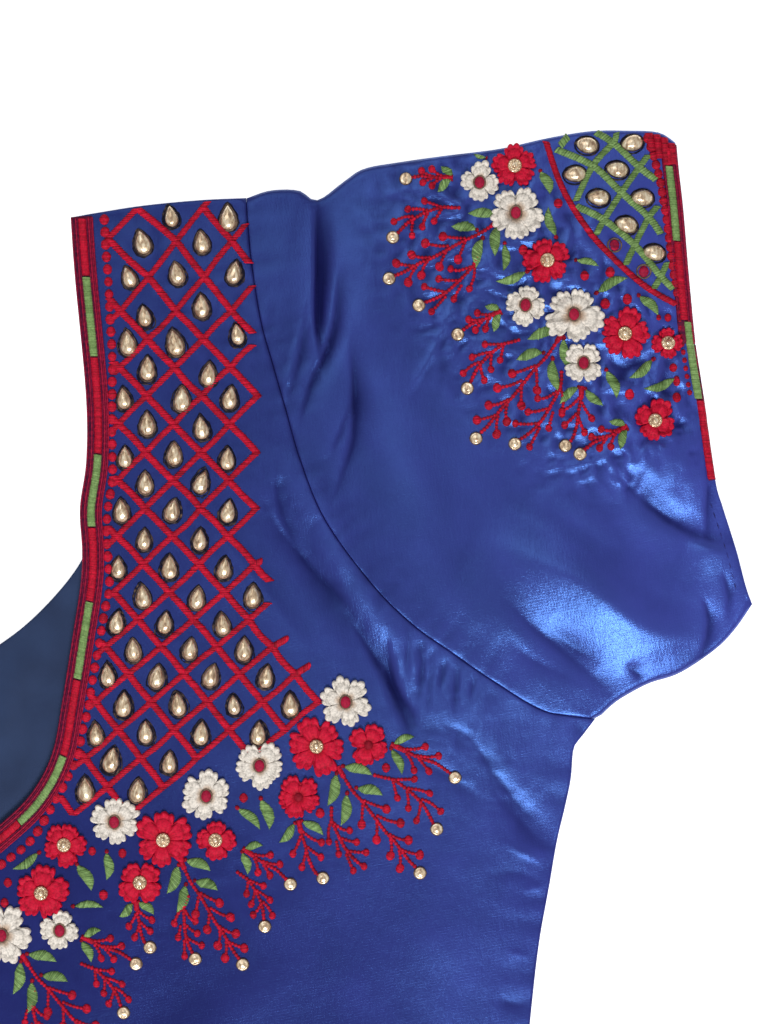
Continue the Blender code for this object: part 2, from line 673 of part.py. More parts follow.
def sleeve(name, direction):
    """A flattened tube, folded on top and seamed under the arm, open at both ends."""
    ring, starts = sleeve_ring()
    count = len(ring)
    outline = [(direction * out, up) for out, up in ring]
    hollow = [(direction * out, up) for out, up in inset_ring(ring, starts)]
    creases = fold_lines(RIGHT_FOLDS if direction > 0 else LEFT_FOLDS, direction)
    creases = within(creases, outline, FOLD_CLEAR_OF_EDGE)
    raised = sleeve_relief(outline, direction)
    raised += spaced(creases, FOLD_POINTS_APART, raised)
    plain = grid_points(outline, SLEEVE_GRID, raised)
    inner = creases + grid_points(outline, LINING_GRID, creases)
    low = grid_points(outline, FLAT_GRID)
    verts = []
    faces = []

    def surface(edge, points, height):
        start = len(verts)
        for p in edge + points:
            lift = p[2] if len(p) > 2 else 0.0
            verts.append((p[0], p[1], height(p[0], p[1]) + lift))
        faces.extend(tuple(start + i for i in face) for face in fill(edge, points))
        return start

    def band(first, second, start, stop):
        for k in range(start, stop):
            a, b = k % count, (k + 1) % count
            faces.append((first + a, second + a, second + b))
            faces.append((first + a, second + b, first + b))

    outer_top = surface(outline, raised + plain, upper_height)
    outer_low = surface(outline, low, lambda out, up: 0.0)
    inner_top = surface(hollow, inner, lambda out, up: upper_height(out, up) - WALL)
    inner_low = surface(hollow, low, lambda out, up: WALL)
    fold, cuff, under, cap = starts
    for start, stop in ((fold, cuff), (under, cap)):
        band(outer_top, outer_low, start, stop)
        band(inner_top, inner_low, start, stop)
    for start, stop in ((cuff, under), (cap, count)):
        band(outer_top, inner_top, start, stop)
        band(outer_low, inner_low, start, stop)
        for k in (start % count, stop % count):
            faces.append((outer_top + k, inner_top + k, inner_low + k))
            faces.append((outer_top + k, inner_low + k, outer_low + k))
    return make_object(name, verts, faces, SATIN)


def cuff_edge():
    """The stretch of the cuff's upper edge that carries the border, from the fold down."""
    cuff = smooth_path(CUFF, OUTLINE_SPACING)
    stretch = cuff[:round(len(cuff) * CUFF_BORDER_END) + 1]
    return stretch[::-1]


strip("back_neck_border", full_neck, BORDER_WIDTH, RED_THREAD, BORDER_RISE)
back_panel()
for label, way in (("right", 1), ("left", -1)):
    front_panel("front_" + label, way)
    front_lining("front_lining_" + label, way)
    sleeve("sleeve_" + label, way)
    cuff_run = cuff_edge()
    if way < 0:
        cuff_run = mirrored(cuff_run)[::-1]
    strip("cuff_border_" + label, cuff_run, BORDER_WIDTH, RED_THREAD, BORDER_RISE)
hook_placket()
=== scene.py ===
import math

import bmesh
import bpy
import numpy as np
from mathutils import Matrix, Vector
from mathutils.geometry import delaunay_2d_cdt


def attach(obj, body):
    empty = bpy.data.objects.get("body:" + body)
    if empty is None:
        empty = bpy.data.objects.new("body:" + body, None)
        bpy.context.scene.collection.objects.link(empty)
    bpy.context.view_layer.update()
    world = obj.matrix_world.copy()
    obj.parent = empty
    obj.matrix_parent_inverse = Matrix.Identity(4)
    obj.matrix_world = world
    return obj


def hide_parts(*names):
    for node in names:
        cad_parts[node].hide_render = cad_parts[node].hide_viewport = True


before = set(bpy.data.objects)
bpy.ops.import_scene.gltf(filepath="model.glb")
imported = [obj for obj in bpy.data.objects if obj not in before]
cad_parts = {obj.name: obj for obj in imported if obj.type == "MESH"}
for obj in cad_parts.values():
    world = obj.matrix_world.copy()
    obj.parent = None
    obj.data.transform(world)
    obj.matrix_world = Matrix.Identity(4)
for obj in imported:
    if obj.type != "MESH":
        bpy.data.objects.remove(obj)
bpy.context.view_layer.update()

# A short-sleeved choli blouse, laid flat with its back panel uppermost.
# Sizes are in millimetres: "out" from the centre line, "up" from the shoulder line.

MM = 0.001
RANDOM = np.random.default_rng(11)
SEAM_GAP = 0.3
SEAM_LINE = 0.08
WALL = 1.0
FRONT_TOP = 1.2
LINING_LOW = FRONT_TOP + SEAM_GAP
LINING_TOP = LINING_LOW + WALL
HEM_UP, TOP_UP = -371.0, 24.8
CENTRE_UP = (HEM_UP + TOP_UP) / 2
BOTH = (("right", 1), ("left", -1))

# ---------------------------------------------------------------- outlines

SHOULDER = [(79.5, -4), (89, -2.3), (104, 0), (122, 1.7), (137.3, 2.4)]
BACK_NECK = [(79.5, -4), (80.9, -23), (84.6, -62), (84.8, -84), (82.7, -100), (83.4, -114), (82.9, -125),
    (80, -144), (76.8, -164), (73.5, -181), (66.7, -194), (56.1, -204.6), (40, -217), (20, -227), (0, -231)]
FRONT_NECK = [(82.5, -4), (84, -25), (87.5, -64), (87.5, -84), (85.8, -100), (85, -112), (79.5, -122.4),
    (68, -135.3), (56, -144.9), (38, -155.5), (18, -163.5), (0, -166)]
ARMHOLE = [(137.3, 2.4), (137.8, -6), (139.4, -21), (142.4, -38.9), (146, -52), (150.6, -68), (155.2, -84),
    (163.5, -104), (178.9, -125.1), (192.1, -138.3), (204.5, -147.2), (217.8, -156.4), (234, -166.3),
    (244, -168.6), (252.6, -169.6)]
SIDE = [(252.6, -169.6), (248.4, -175.2), (245.5, -179.4), (244.6, -189), (242.8, -198), (240, -210),
    (237.2, -226), (234.3, -242), (232.3, -258), (229.6, -285), (226, -325), (223, -368.5)]
HEM = [(223, -368.5), (150, -369.8), (70, -370.7), (0, HEM_UP)]
SLEEVE_FOLD = [(137.9, 2.6), (145.2, 5), (154.6, 5), (160.7, 1.8), (169.6, 8), (176.2, 12.2), (188.1, 14.4),
    (203, 16.5), (221.1, 18.8), (236.3, 22.2), (250.8, 24.6), (263, TOP_UP), (273.6, 24.2), (279.2, 20.8)]
CUFF = [(279.2, 20.8), (280, 12), (281.5, -1.3), (283.5, -24.8), (285.6, -46), (288.4, -64.4),
    (292.2, -90.8), (294.6, -99.5), (298.6, -112.2), (302.6, -127), (304.6, -131.8)]
UNDERARM = [(304.6, -131.8), (298.7, -140.3), (292, -147), (280.5, -154.6), (270.6, -157.9),
    (262.4, -162.2), (258.1, -165.2), (253.2, -169.9)]

# ---------------------------------------------------------------- folds

RIM_TOP, NECK_TOP, LOWEST_TOP = 3.0, 4.4, 2.5
LOFT, LOFT_REACH = 3.2, 24.0
NECK_REACH, NECK_STIFFNESS = 26.0, 0.8
LOWEST_BLEND = 0.45
RIM_FADE, RIM_FOLD_SHARE = 10.0, 0.35
PLACKET_LIFT, PLACKET_REACH = 1.5, 19.0
SEAM_GROOVE, SEAM_GROOVE_WIDTH = 0.16, 0.9

# Columns: start out, start up, end out, end up, half width, height (a trough is negative).
RIGHT_FOLDS = [(148.6, 4, 148, -46, 6.5, 0.4), (176, 10, 174, -70, 8, 0.9), (192, 16, 186, -40, 8, 0.6),
    (173, -46, 179, -94, 6.5, -1), (187, -60, 196, -108, 9, 1.2), (196, -116, 236, -150, 7, 0.8),
    (148, -100, 182, -154, 6, -1.2), (152, -92, 190, -150, 6, 1.4), (196, -236, 226, -262, 14, 0.2),
    (206, -222, 196, -250, 14, 0.2), (150, -282, 214, -316, 18, 0.5), (70, -304, 140, -338, 19, 0.8),
    (96, -316, 150, -356, 13, -0.6), (178, -308, 190, -366, 12, 0.8)]
LEFT_FOLDS = [(149, 4, 151, -40, 6, 1), (172, 10, 172, -64, 8, 1.2), (186, 16, 190, -46, 8, 1.1),
    (176, -54, 184, -100, 6.5, -1.2), (196, -62, 204, -118, 9, 1.4), (206, -90, 256, -122, 10, 1.4),
    (150, -104, 188, -158, 7, -1.2), (190, -230, 228, -250, 12, 0.4), (130, -272, 210, -300, 18, 0.5),
    (60, -308, 128, -326, 16, 1), (158, -310, 172, -366, 11, 1.2), (88, -322, 120, -360, 10, -0.8)]

# Creases with a sharp side. Columns: points, width left of their run, width right of it, height.
RIGHT_CREASES = [([(161.2, 9), (161, -1), (161.2, -20), (160.8, -36), (162, -52)], 3.4, 0.7, -4.4),
    ([(160.2, 6), (160, -12), (159.8, -34), (158, -52)], 0.6, 6, 0.6), ([(159.4, -24), (159.3, -38),
    (161, -48), (163, -60)], 1, 2.2, 0.8), ([(168.6, -18), (167, -38), (163.5, -50), (159, -59),
    (155, -74)], 3.4, 0.9, -1.9), ([(157, -36), (152.6, -50), (147.6, -72)], 3.2, 0.8, 0.5), ([(172, -40),
    (173, -62), (172.6, -78), (166, -98)], 5, 0.8, -1.4), ([(150, -68), (155.5, -50), (159, -28)], 0.8, 3,
    -0.8), ([(165, -84), (170, -72), (174, -60)], 0.8, 3, -0.7), ([(208.5, -31), (199.5, -48),
    (189.5, -66)], 0.8, 2.6, 0.55), ([(244, -71), (262, -79.5), (280, -85), (296, -90), (314, -94)], 8, 16,
    2.2), ([(260, -90), (268.5, -97.5), (278, -104.5), (288, -109), (300, -110.5)], 7, 2.4, -2.2),
    ([(282, -111), (290, -114), (299, -115), (314, -116)], 3.4, 9, 3.2), ([(212, -108), (226, -114),
    (240, -120.5), (250, -125.5), (259, -133), (269, -140), (282, -143.5), (296, -146)], 9, 15.5, 5.2),
    ([(220, -127), (231, -138), (242, -147), (252, -155.5), (262, -164)], 8, 3.6, -1.5), ([(236, -139),
    (246, -146), (255, -151)], 4, 2.6, -0.8), ([(262, -151), (267, -155), (270, -160)], 2.4, 1.4, -1),
    ([(230, -94), (246, -102), (262, -114)], 4, 6, 0.9), ([(222, -101), (236, -107), (252, -117)], 3, 5,
    0.5), ([(289.6, -82), (290, -92), (289.8, -102), (289.6, -113)], 3.2, 0.8, -1.7), ([(287, -128),
    (290.4, -136), (289, -146), (284, -156)], 2.8, 1, -1.6), ([(294, -120), (297, -128), (296, -138)], 1.6,
    1, -1), ([(222, -140), (232, -150), (250, -158)], 7, 3, -0.8), ([(194, -172), (204, -172),
    (211.5, -176), (219, -187), (229.4, -200.3)], 1.6, 6, -0.5), ([(217, -184), (229.4, -200.3),
    (239, -209), (252, -219)], 2.4, 6, -1.2), ([(219, -195), (230, -205), (242, -215), (260, -229)], 9, 2.4,
    -1.4), ([(182, -170), (192, -180), (205, -189), (219, -199)], 2.6, 5, -0.6), ([(219, -209.6),
    (228, -213.6), (240, -220.6), (250, -226)], 3, 1, 0.35), ([(214, -222), (226, -220), (238, -224.6),
    (248, -228)], 2.6, 3.4, -0.5), ([(170.6, -134.4), (180.2, -150.2), (191, -172), (194, -180)], 5, 1.3,
    -1.5), ([(184, -138), (185.6, -158), (190.4, -165), (194, -175)], 1.3, 3.4, -1.2), ([(181, -150),
    (184, -159), (187.6, -165)], 1, 2.6, 0.8), ([(204, -152), (214, -168), (222, -184)], 5, 7, 0.4),
    ([(228, -226.4), (233, -225), (238.6, -227.6)], 1, 2, 0.45), ([(222, -288), (229, -291)], 1.2, 3, 0.4),
    ([(222, -246), (234, -249)], 1.2, 2.6, 0.3), ([(220, -262), (231, -265)], 1.2, 2.6, -0.35),
    ([(118, -100), (136, -118), (160, -150)], 2.4, 6, 0.5), ([(142, -96), (152, -112), (172, -134)], 1.2, 4,
    -0.8), ([(146.5, -84), (150, -104), (160, -122)], 3.6, 1, -0.7), ([(191.6, -139.6), (190.6, -150),
    (191.2, -160)], 0.9, 1.6, -0.65), ([(195.4, -142), (195.6, -154), (194, -166)], 0.9, 1.5, -0.8),
    ([(199, -144.6), (198.6, -156), (196.8, -168)], 0.8, 1.5, -0.65), ([(203.2, -147), (202.4, -155),
    (201.4, -162)], 0.8, 1.5, -0.7), ([(207.6, -150.4), (207, -158), (206.4, -168)], 0.9, 1.7, -0.75),
    ([(213.4, -154), (212, -160), (211.6, -165)], 0.8, 1.5, -0.5)]
LEFT_CREASES = [([(158.4, 9), (158.8, -14), (158, -30), (159.4, -46)], 5, 0.7, -3.8), ([(166.5, -16),
    (165, -34), (160.5, -48), (155, -62)], 4.5, 1, -1.8), ([(151.5, -62), (157.5, -44), (160.5, -28)], 0.8,
    3.4, -1), ([(175, -50), (176.6, -68), (173, -88)], 6, 1, -1.5), ([(234, -64), (252, -72), (270, -84),
    (288, -90)], 8, 13, 3.8), ([(252, -90), (268, -102), (288, -110)], 7, 3, -1.6), ([(212, -108),
    (232, -117), (252, -128), (284, -138)], 9, 19, 4.4), ([(284, -108), (296, -118), (290, -138)], 2.4, 5,
    1.3), ([(192, -168), (207, -173), (219, -188), (240, -208)], 13, 1.8, 1), ([(188, -176), (208, -190),
    (238, -214)], 4.5, 6, -1.5), ([(172, -138), (184, -158), (193, -178)], 5, 1.3, -1.4), ([(144, -100),
    (156, -118), (174, -138)], 1.2, 4, -0.8), ([(190.6, -139), (190, -150), (191, -158)], 0.9, 1.6, -0.9),
    ([(196.4, -143), (195.6, -154), (194.6, -164)], 0.9, 1.5, -1), ([(202.2, -147), (202, -156),
    (200.4, -166)], 0.8, 1.5, -1), ([(208.6, -151), (207.6, -160), (207, -166)], 0.9, 1.7, -0.9),
    ([(224, -262), (231, -268)], 1.2, 3, 0.7)]
CREASE_SMOOTHING = 5.0
CREST, CREASE_FADE = 1.5, 1.3
FINE_CREASE = 3.7

# Small crumples round the stitching. Columns: points of a line, reach, height.
CRUMPLES = [([(208, -2), (220, -8), (238, -24), (258, -46), (272, -68)], 23, 1.75), ([(206, -36),
    (222, -60), (246, -80)], 13, 0.9), ([(96, -10), (112, -20), (134, -40)], 14, 0.4), ([(120, -60),
    (118, -100), (116, -150)], 22, 0.2), ([(30, -262), (70, -246), (118, -226), (160, -200), (190, -190)],
    18, 0.2), ([(150, -90), (176, -130), (206, -168), (232, -200)], 14, 0.22)]
# Columns: wave length, height, direction (degrees), phase.
WAVES = [(64, 0.24, 62, 0.4), (47, 0.15, -38, 2.1), (33, 0.1, 15, 4), (27, 0.08, 104, 1.1),
    (19, 0.05, -66, 5.2), (13.5, 0.04, 41, 0.7)]
# Painted shade in the hollows, and a little more gloss on the crests: cells blurred over, depth of full shade
# in mm, share.
HOLLOWS = [(2, 0.35, 0.35), (5, 1.1, 0.45), (11, 2.6, 0.2)]

# ---------------------------------------------------------------- paths


def run_of(path):
    """How far along the path each of its points is."""
    return np.concatenate([[0], np.cumsum(np.hypot(*np.diff(path, axis=0).T))])


def resampled(path, spacing):
    """Points at even distances along the path."""
    run = run_of(path)
    want = np.linspace(0, run[-1], max(1, round(run[-1] / spacing)) + 1)
    return np.stack([np.interp(want, run, path[:, k]) for k in range(2)], axis=1)


def smooth_path(points, spacing):
    """Points at even distances along a Catmull-Rom curve through the given ones."""
    points = np.asarray(points, float)
    ends = np.vstack([points[:1], points, points[-1:]])
    t = np.linspace(0, 1, 16, endpoint=False)[:, None]
    dense = [0.5 * (2 * b + (c - a) * t + (2 * a - 5 * b + 4 * c - d) * t ** 2
                    + (3 * b - a - 3 * c + d) * t ** 3)
             for a, b, c, d in zip(ends, ends[1:], ends[2:], ends[3:])]
    return resampled(np.vstack(dense + [points[-1:]]), spacing)


def looped(outline):
    return np.vstack([outline, outline[:1]])


def leftward(along):
    return np.stack([-along[:, 1], along[:, 0]], axis=1)


def tangents(path):
    steps = np.gradient(path, axis=0)
    return steps / np.maximum(np.hypot(*steps.T), 1e-9)[:, None]


def offset_path(path, distance):
    """The path moved to the left of its direction."""
    return path + distance * leftward(tangents(path))


def mirrored(path):
    return path * [-1, 1]


def folded(p):
    """The places brought over to the right half."""
    return np.stack([np.abs(p[:, 0]), p[:, 1]], axis=1)


def nearest(p, path):
    """For each point: distance from the path, run along it, whether on its left; and the path's length."""
    best, place_on, left = np.full(len(p), np.inf), np.zeros(len(p)), np.zeros(len(p), bool)
    run = 0.0
    for a, b in zip(path[:-1], path[1:]):
        step, off = b - a, p - a
        length = math.hypot(*step)
        share = np.clip(off @ step / length ** 2, 0, 1)
        away = np.hypot(*(off - share[:, None] * step).T)
        closer = away < best
        best[closer] = away[closer]
        place_on[closer] = run + share[closer] * length
        left[closer] = step[0] * off[closer, 1] - step[1] * off[closer, 0] > 0
        run += length
    return best, place_on, left, run


def distance(p, path):
    return nearest(p, path)[0]


def inside(p, polygon):
    found = np.zeros(len(p), bool)
    for a, b in zip(polygon, np.roll(polygon, -1, axis=0)):
        if a[1] != b[1]:
            at = a[0] + (b[0] - a[0]) * (p[:, 1] - a[1]) / (b[1] - a[1])
            found ^= ((a[1] > p[:, 1]) != (b[1] > p[:, 1])) & (p[:, 0] < at)
    return found


# ---------------------------------------------------------------- the surface

OUTER_EDGE = np.array(SHOULDER[:-1] + SLEEVE_FOLD[1:] + CUFF[1:] + UNDERARM[1:] + SIDE[1:] + HEM[1:])
NECK, SEAM, SIDE_SEAM, FOLD = (np.array(line) for line in (BACK_NECK, ARMHOLE, SIDE, SLEEVE_FOLD))


def fold_height(p, folds):
    total = np.zeros(len(p))
    for out_a, up_a, out_b, up_b, half_width, height in folds:
        away, at, _, run = nearest(p, np.array([(out_a, up_a), (out_b, up_b)]))
        total += height * np.exp(-(away / half_width) ** 2) * np.sin(math.pi * (0.12 + 0.76 * at / run))
    return total


def crease_height(p, creases):
    total = np.zeros(len(p))
    for line, width_left, width_right, height in creases:
        path = smooth_path(line, CREASE_SMOOTHING)
        reach = 2.6 * max(width_left, width_right)
        near = np.all((p > path.min(axis=0) - reach) & (p < path.max(axis=0) + reach), axis=1)
        away, at, left, run = nearest(p[near], path)
        width = np.where(left, width_left, width_right)
        fade = np.sin(math.pi * (at / run)) ** CREASE_FADE
        total[near] += height * np.exp(-(away / width) ** CREST) * fade
    return total


NOISE_SIZE = 64
NOISE_TABLES = [RANDOM.uniform(-1, 1, (NOISE_SIZE, NOISE_SIZE)) for _ in range(3)]


def blend(table, i, j, i1, j1, u, v):
    """The table's value between four places."""
    return ((table[i, j] * (1 - u) + table[i1, j] * u) * (1 - v)
            + (table[i, j1] * (1 - u) + table[i1, j1] * u) * v)


def soft_noise(p, size, table):
    """Smooth random heights from -1 to 1, with bumps of about this size."""
    x, y = p.T / size
    i, j = np.floor(x).astype(int), np.floor(y).astype(int)
    u, v = x - i, y - j
    return blend(table, i % NOISE_SIZE, j % NOISE_SIZE, (i + 1) % NOISE_SIZE, (j + 1) % NOISE_SIZE,
                 u * u * (3 - 2 * u), v * v * (3 - 2 * v))


def crumples(p):
    """Small sharp-topped creases near the stitching."""
    side = folded(p)
    total = np.zeros(len(p))
    for line, reach, height in CRUMPLES:
        total += height * np.exp(-(distance(side, np.array(line)) / reach) ** 2)
    used = total > 0.01
    q = p[used] + 2.0 * np.stack([soft_noise(p[used], 11.0, NOISE_TABLES[2]),
                                  soft_noise(p[used], 9.0, NOISE_TABLES[1])], axis=1)
    large = 1 - 2 * np.abs(soft_noise(q, 5.2, NOISE_TABLES[0])) ** 0.8
    small = 1 - 2 * np.abs(soft_noise(q, 3.3, NOISE_TABLES[1]))
    total[used] *= 0.62 * large + 0.38 * small
    return total


def waves(p, table):
    total = np.zeros(len(p))
    for length, height, direction, phase in table:
        angle = math.radians(direction)
        run = p @ [math.cos(angle), math.sin(angle)]
        cross = p @ [-math.sin(angle), math.cos(angle)]
        bend = 0.35 * length * np.sin(cross / (1.7 * length) + phase)
        swell = 0.6 + 0.4 * np.sin(cross / (2.3 * length) + 1.7 * phase)
        total += height * swell * np.sin(2 * math.pi * (run + bend) / length + phase)
    return total


def warped(p):
    """The folds' own coordinates: gently bent, so that no fold runs dead straight."""
    out, up = p.T
    return np.stack([out + 1.6 * np.sin(up / 13.0 + 0.5) + 0.8 * np.sin(up / 5.7 + out / 17.0),
                     up + 1.5 * np.sin(out / 15.0 + 1.0) + 0.7 * np.sin(out / 6.3 - up / 19.0)], axis=1)


def puckers(away, run, length, height, reach):
    """Small gathers that run off a seam."""
    phase = 2 * math.pi * (run + 2.5 * np.sin(run / 9.0) + 1.5 * np.sin(run / 3.7)) / length
    return height * np.sin(phase) * np.exp(-away / reach)


def upper_height(p):
    """Outer height of the upper layer at each (out, up), over body and sleeves alike."""
    side = folded(p)
    rim, neck = distance(side, OUTER_EDGE), distance(side, NECK)
    seam, seam_run = nearest(side, SEAM)[:2]
    flank, flank_run = nearest(side, SIDE_SEAM)[:2]
    near_neck = np.exp(-(neck / NECK_REACH) ** 2)
    built_up = 1 - np.exp(-(rim / LOFT_REACH) ** 1.5)
    height = RIM_TOP + LOFT * built_up * (1 - near_neck)
    height += (NECK_TOP - RIM_TOP) * built_up * near_neck
    height += PLACKET_LIFT * np.exp(-(side[:, 0] / PLACKET_REACH) ** 4) * (1 - near_neck)
    freedom = 1 - NECK_STIFFNESS * near_neck
    freedom *= RIM_FOLD_SHARE + (1 - RIM_FOLD_SHARE) * np.minimum(1.0, rim / RIM_FADE)
    bent = warped(side)
    right = p[:, 0] > 0
    folds = np.zeros(len(p))
    for way, soft, sharp in ((right, RIGHT_FOLDS, RIGHT_CREASES), (~right, LEFT_FOLDS, LEFT_CREASES)):
        if way.any():
            folds[way] = fold_height(bent[way], soft) + crease_height(side[way], sharp)
    height += freedom * (folds + waves(p, WAVES)) + crumples(p)
    height += puckers(seam, seam_run, 8.5, 0.16, 7.0)
    height += puckers(flank, flank_run, 11.0, 0.25, 8.0)
    height -= SEAM_GROOVE * np.exp(-(seam / SEAM_GROOVE_WIDTH) ** 2)
    return LOWEST_TOP + LOWEST_BLEND * np.logaddexp(0, (height - LOWEST_TOP) / LOWEST_BLEND)


# The heights on one grid, for what lies on the cloth and for the painted shade in its hollows.
GRID_STEP = 0.8
GRID_LOW = np.array([-308.0, -376.0])
GRID_COUNT = (771, 510)


def on_grid(table, p):
    """The table's value at each point, from the four places round it."""
    at = (p - GRID_LOW) / GRID_STEP
    cell = np.clip(np.floor(at).astype(int), 0, np.array(table.shape) - 2)
    u, v = (at - cell).T
    i, j = cell.T
    return blend(table, i, j, i + 1, j + 1, u, v)


def taken(table, axis, start):
    """As many rows as the grid has, from this one on."""
    return np.take(table, np.arange(start, start + GRID_COUNT[axis]), axis)


def widened(table, cells, axis):
    pad = [(0, 0), (0, 0)]
    pad[axis] = (cells + 1, cells)
    return np.pad(table, pad, mode="edge")


def blurred(table, cells):
    """The mean round each place, twice over."""
    for axis in (0, 1, 0, 1):
        total = np.cumsum(widened(table, cells, axis), axis=axis)
        table = (taken(total, axis, 2 * cells + 1) - taken(total, axis, 0)) / (2 * cells + 1)
    return table


def lowest_round(table, cells):
    for axis in (0, 1):
        wide = widened(table, cells, axis)
        table = np.min([taken(wide, axis, k) for k in range(1, 2 * cells + 2)], axis=0)
    return table


grid_places = np.stack(np.meshgrid(*map(np.arange, GRID_COUNT), indexing="ij"),
                       axis=-1).reshape(-1, 2) * GRID_STEP + GRID_LOW
HEIGHTS = upper_height(grid_places).reshape(GRID_COUNT)
LOWEST_NEAR = lowest_round(HEIGHTS, 4)
# Painted shade: darker where the cloth lies below its blurred heights, a little glossier where it lies above.
SHADE = 1 - sum(share * np.clip((blurred(HEIGHTS, cells) - HEIGHTS) / depth, -0.25, 1)
                for cells, depth, share in HOLLOWS)
FOLD_MIDDLE, FOLD_ROUNDING = 1.4, 2.2


def quarter(away, radius):
    """From 0 at an edge to 1 at a radius away, as a rounded edge rises."""
    return np.sqrt(1 - (1 - np.clip(away / radius, 0, 1)) ** 2)


def laid_height(p):
    """Where a stitch rests: the cloth's height, lower where the sleeve rounds over its fold."""
    rounding = quarter(distance(folded(p), FOLD) + 0.35, FOLD_ROUNDING)
    return FOLD_MIDDLE + (on_grid(HEIGHTS, p) - FOLD_MIDDLE) * rounding


# Painted shade on the lower body, darker and less glossy towards the hem: where it starts and is full, and
# the loss of brightness and of gloss.
PAINTED_LOW_FROM_UP, PAINTED_LOW_FULL_UP, PAINTED_LOW_SHADE, PAINTED_LOW_GLOSS = -160.0, -235.0, 0.12, 0.55
# Painted shade towards the middle and painted sheen towards the sleeves: distance out, then share.
PAINTED_SHEEN_OUT = [115, 165, 190, 215, 245, 275, 300]
PAINTED_SHEEN_SHARE = [0.48, 0.70, 0.85, 1.00, 1.18, 1.40, 1.50]


def painted_shade_and_sheen(p, shade):
    """A colour attribute of painted light: red is painted shade, green the gloss, blue a painted sheen."""
    painted_low = np.clip((PAINTED_LOW_FROM_UP - p[:, 1]) / (PAINTED_LOW_FROM_UP - PAINTED_LOW_FULL_UP), 0, 1)
    painted_low = painted_low * painted_low * (3 - 2 * painted_low)
    across = np.interp(np.abs(p[:, 0]), PAINTED_SHEEN_OUT, PAINTED_SHEEN_SHARE)
    painted_middle_shade = np.minimum(across, 1)
    return np.stack([shade * painted_middle_shade * (1 - PAINTED_LOW_SHADE * painted_low), shade * painted_middle_shade * (1 - PAINTED_LOW_GLOSS * painted_low),
                     np.maximum(across, 1), np.ones(len(p))], axis=1)


# ---------------------------------------------------------------- meshes


def hex_grid(polygon, spacing, clear):
    """A hexagonal grid inside the polygon, clear of its outline."""
    low, high = polygon.min(axis=0), polygon.max(axis=0)
    rows = []
    row_step = spacing * math.sqrt(3) / 2
    for row, up in enumerate(np.arange(low[1] + row_step / 2, high[1], row_step)):
        outs = np.arange(low[0] + spacing * (0.25 + 0.5 * (row % 2)), high[0], spacing)
        rows.append(np.stack([outs, np.full(len(outs), up)], axis=1))
    points = np.vstack(rows)
    points = points[inside(points, polygon)]
    return points[distance(points, looped(polygon)) > clear]


def fill(outline, points):
    """Triangles, turning anticlockwise, that fill the outline through the inner points."""
    count = len(outline)
    verts, _, faces, origins, _, _ = delaunay_2d_cdt(
        [Vector(p) for p in np.vstack([outline, points])],
        [(i, (i + 1) % count) for i in range(count)], [], 0, 1e-6)
    back = np.array([source[0] for source in origins])
    places = np.array([(v.x, v.y) for v in verts])
    faces = np.array(faces)
    a, b, c = (places[faces[:, k]] for k in range(3))
    turn = (b - a)[:, 0] * (c - a)[:, 1] - (b - a)[:, 1] * (c - a)[:, 0]
    faces[turn < 0] = faces[turn < 0][:, ::-1]
    return back[faces[inside((a + b + c) / 3, outline) & (np.abs(turn) > 1e-7)]]


# Where the cloth's mesh is finer. Columns: out, up, radius, spacing.
FINE_PATCHES = [(162, -30, 34, 1.5), (236, -32, 62, 1.3), (202, -158, 22, 1.2), (222, -196, 30, 1.6),
    (286, -124, 22, 1.6)]
CREASE_ROWS = (0.35, 0.9, 1.7, 2.6)
RIM_DEPTHS = (0.3, 0.8, 1.5, 2.6)


def cloth_points(outline, spacing):
    """Inner points of a cloth: a grid, finer in places, and rows along the sharp creases."""
    def off(points, out, up):
        return np.hypot(np.abs(points[:, 0]) - out, points[:, 1] - up)

    kept = hex_grid(outline, spacing, 3.0 + 0.3 * spacing)
    extra = []
    for out, up, radius, fine in FINE_PATCHES:
        kept = kept[off(kept, out, up) > radius]
        grid = hex_grid(outline, fine, 3.0 + 0.3 * fine)
        good = off(grid, out, up) <= radius
        for a, b, r, _ in FINE_PATCHES[:len(extra)]:
            good &= off(grid, a, b) > r
        extra.append(grid[good])
    points = np.vstack([kept] + extra)
    rows = []
    for way, creases in ((1, RIGHT_CREASES), (-1, LEFT_CREASES)):
        for line, width_left, width_right, _ in creases:
            if min(width_left, width_right) <= FINE_CREASE:
                path = resampled(smooth_path(line, CREASE_SMOOTHING), 1.6) * [way, 1]
                points = points[distance(points, path) > CREASE_ROWS[-1] + 0.4]
                rows += [offset_path(path, sign * away) for away in CREASE_ROWS for sign in (1, -1)]
    lines = np.vstack(rows)
    lines = lines[inside(lines, outline)]
    return np.vstack([points, thinned(lines[distance(lines, looped(outline)) > 3.0], 0.45)])


def thinned(points, gap):
    """The points without those that crowd an earlier one."""
    cells = {}
    kept = []
    for k, point in enumerate(points):
        i, j = int(point[0] // gap), int(point[1] // gap)
        close = [m for x in (-1, 0, 1) for y in (-1, 0, 1) for m in cells.get((i + x, j + y), ())]
        if all(math.dist(point, points[m]) > gap for m in close):
            cells.setdefault((i, j), []).append(k)
            kept.append(k)
    return points[kept]


def signed_area(outline):
    x, y = outline.T
    return 0.5 * np.sum(x * np.roll(y, -1) - y * np.roll(x, -1))


def rim_rows(outline, depths):
    """Rows of points just inside the outline."""
    rows = []
    along = np.roll(outline, -1, axis=0) - np.roll(outline, 1, axis=0)
    along /= np.maximum(np.hypot(*along.T), 1e-9)[:, None]
    for depth in depths:
        moved = outline + depth * (1 if signed_area(outline) > 0 else -1) * leftward(along)
        rows.append(moved[(distance(moved, looped(outline)) > 0.9 * depth) & inside(moved, outline)])
    return np.vstack(rows)


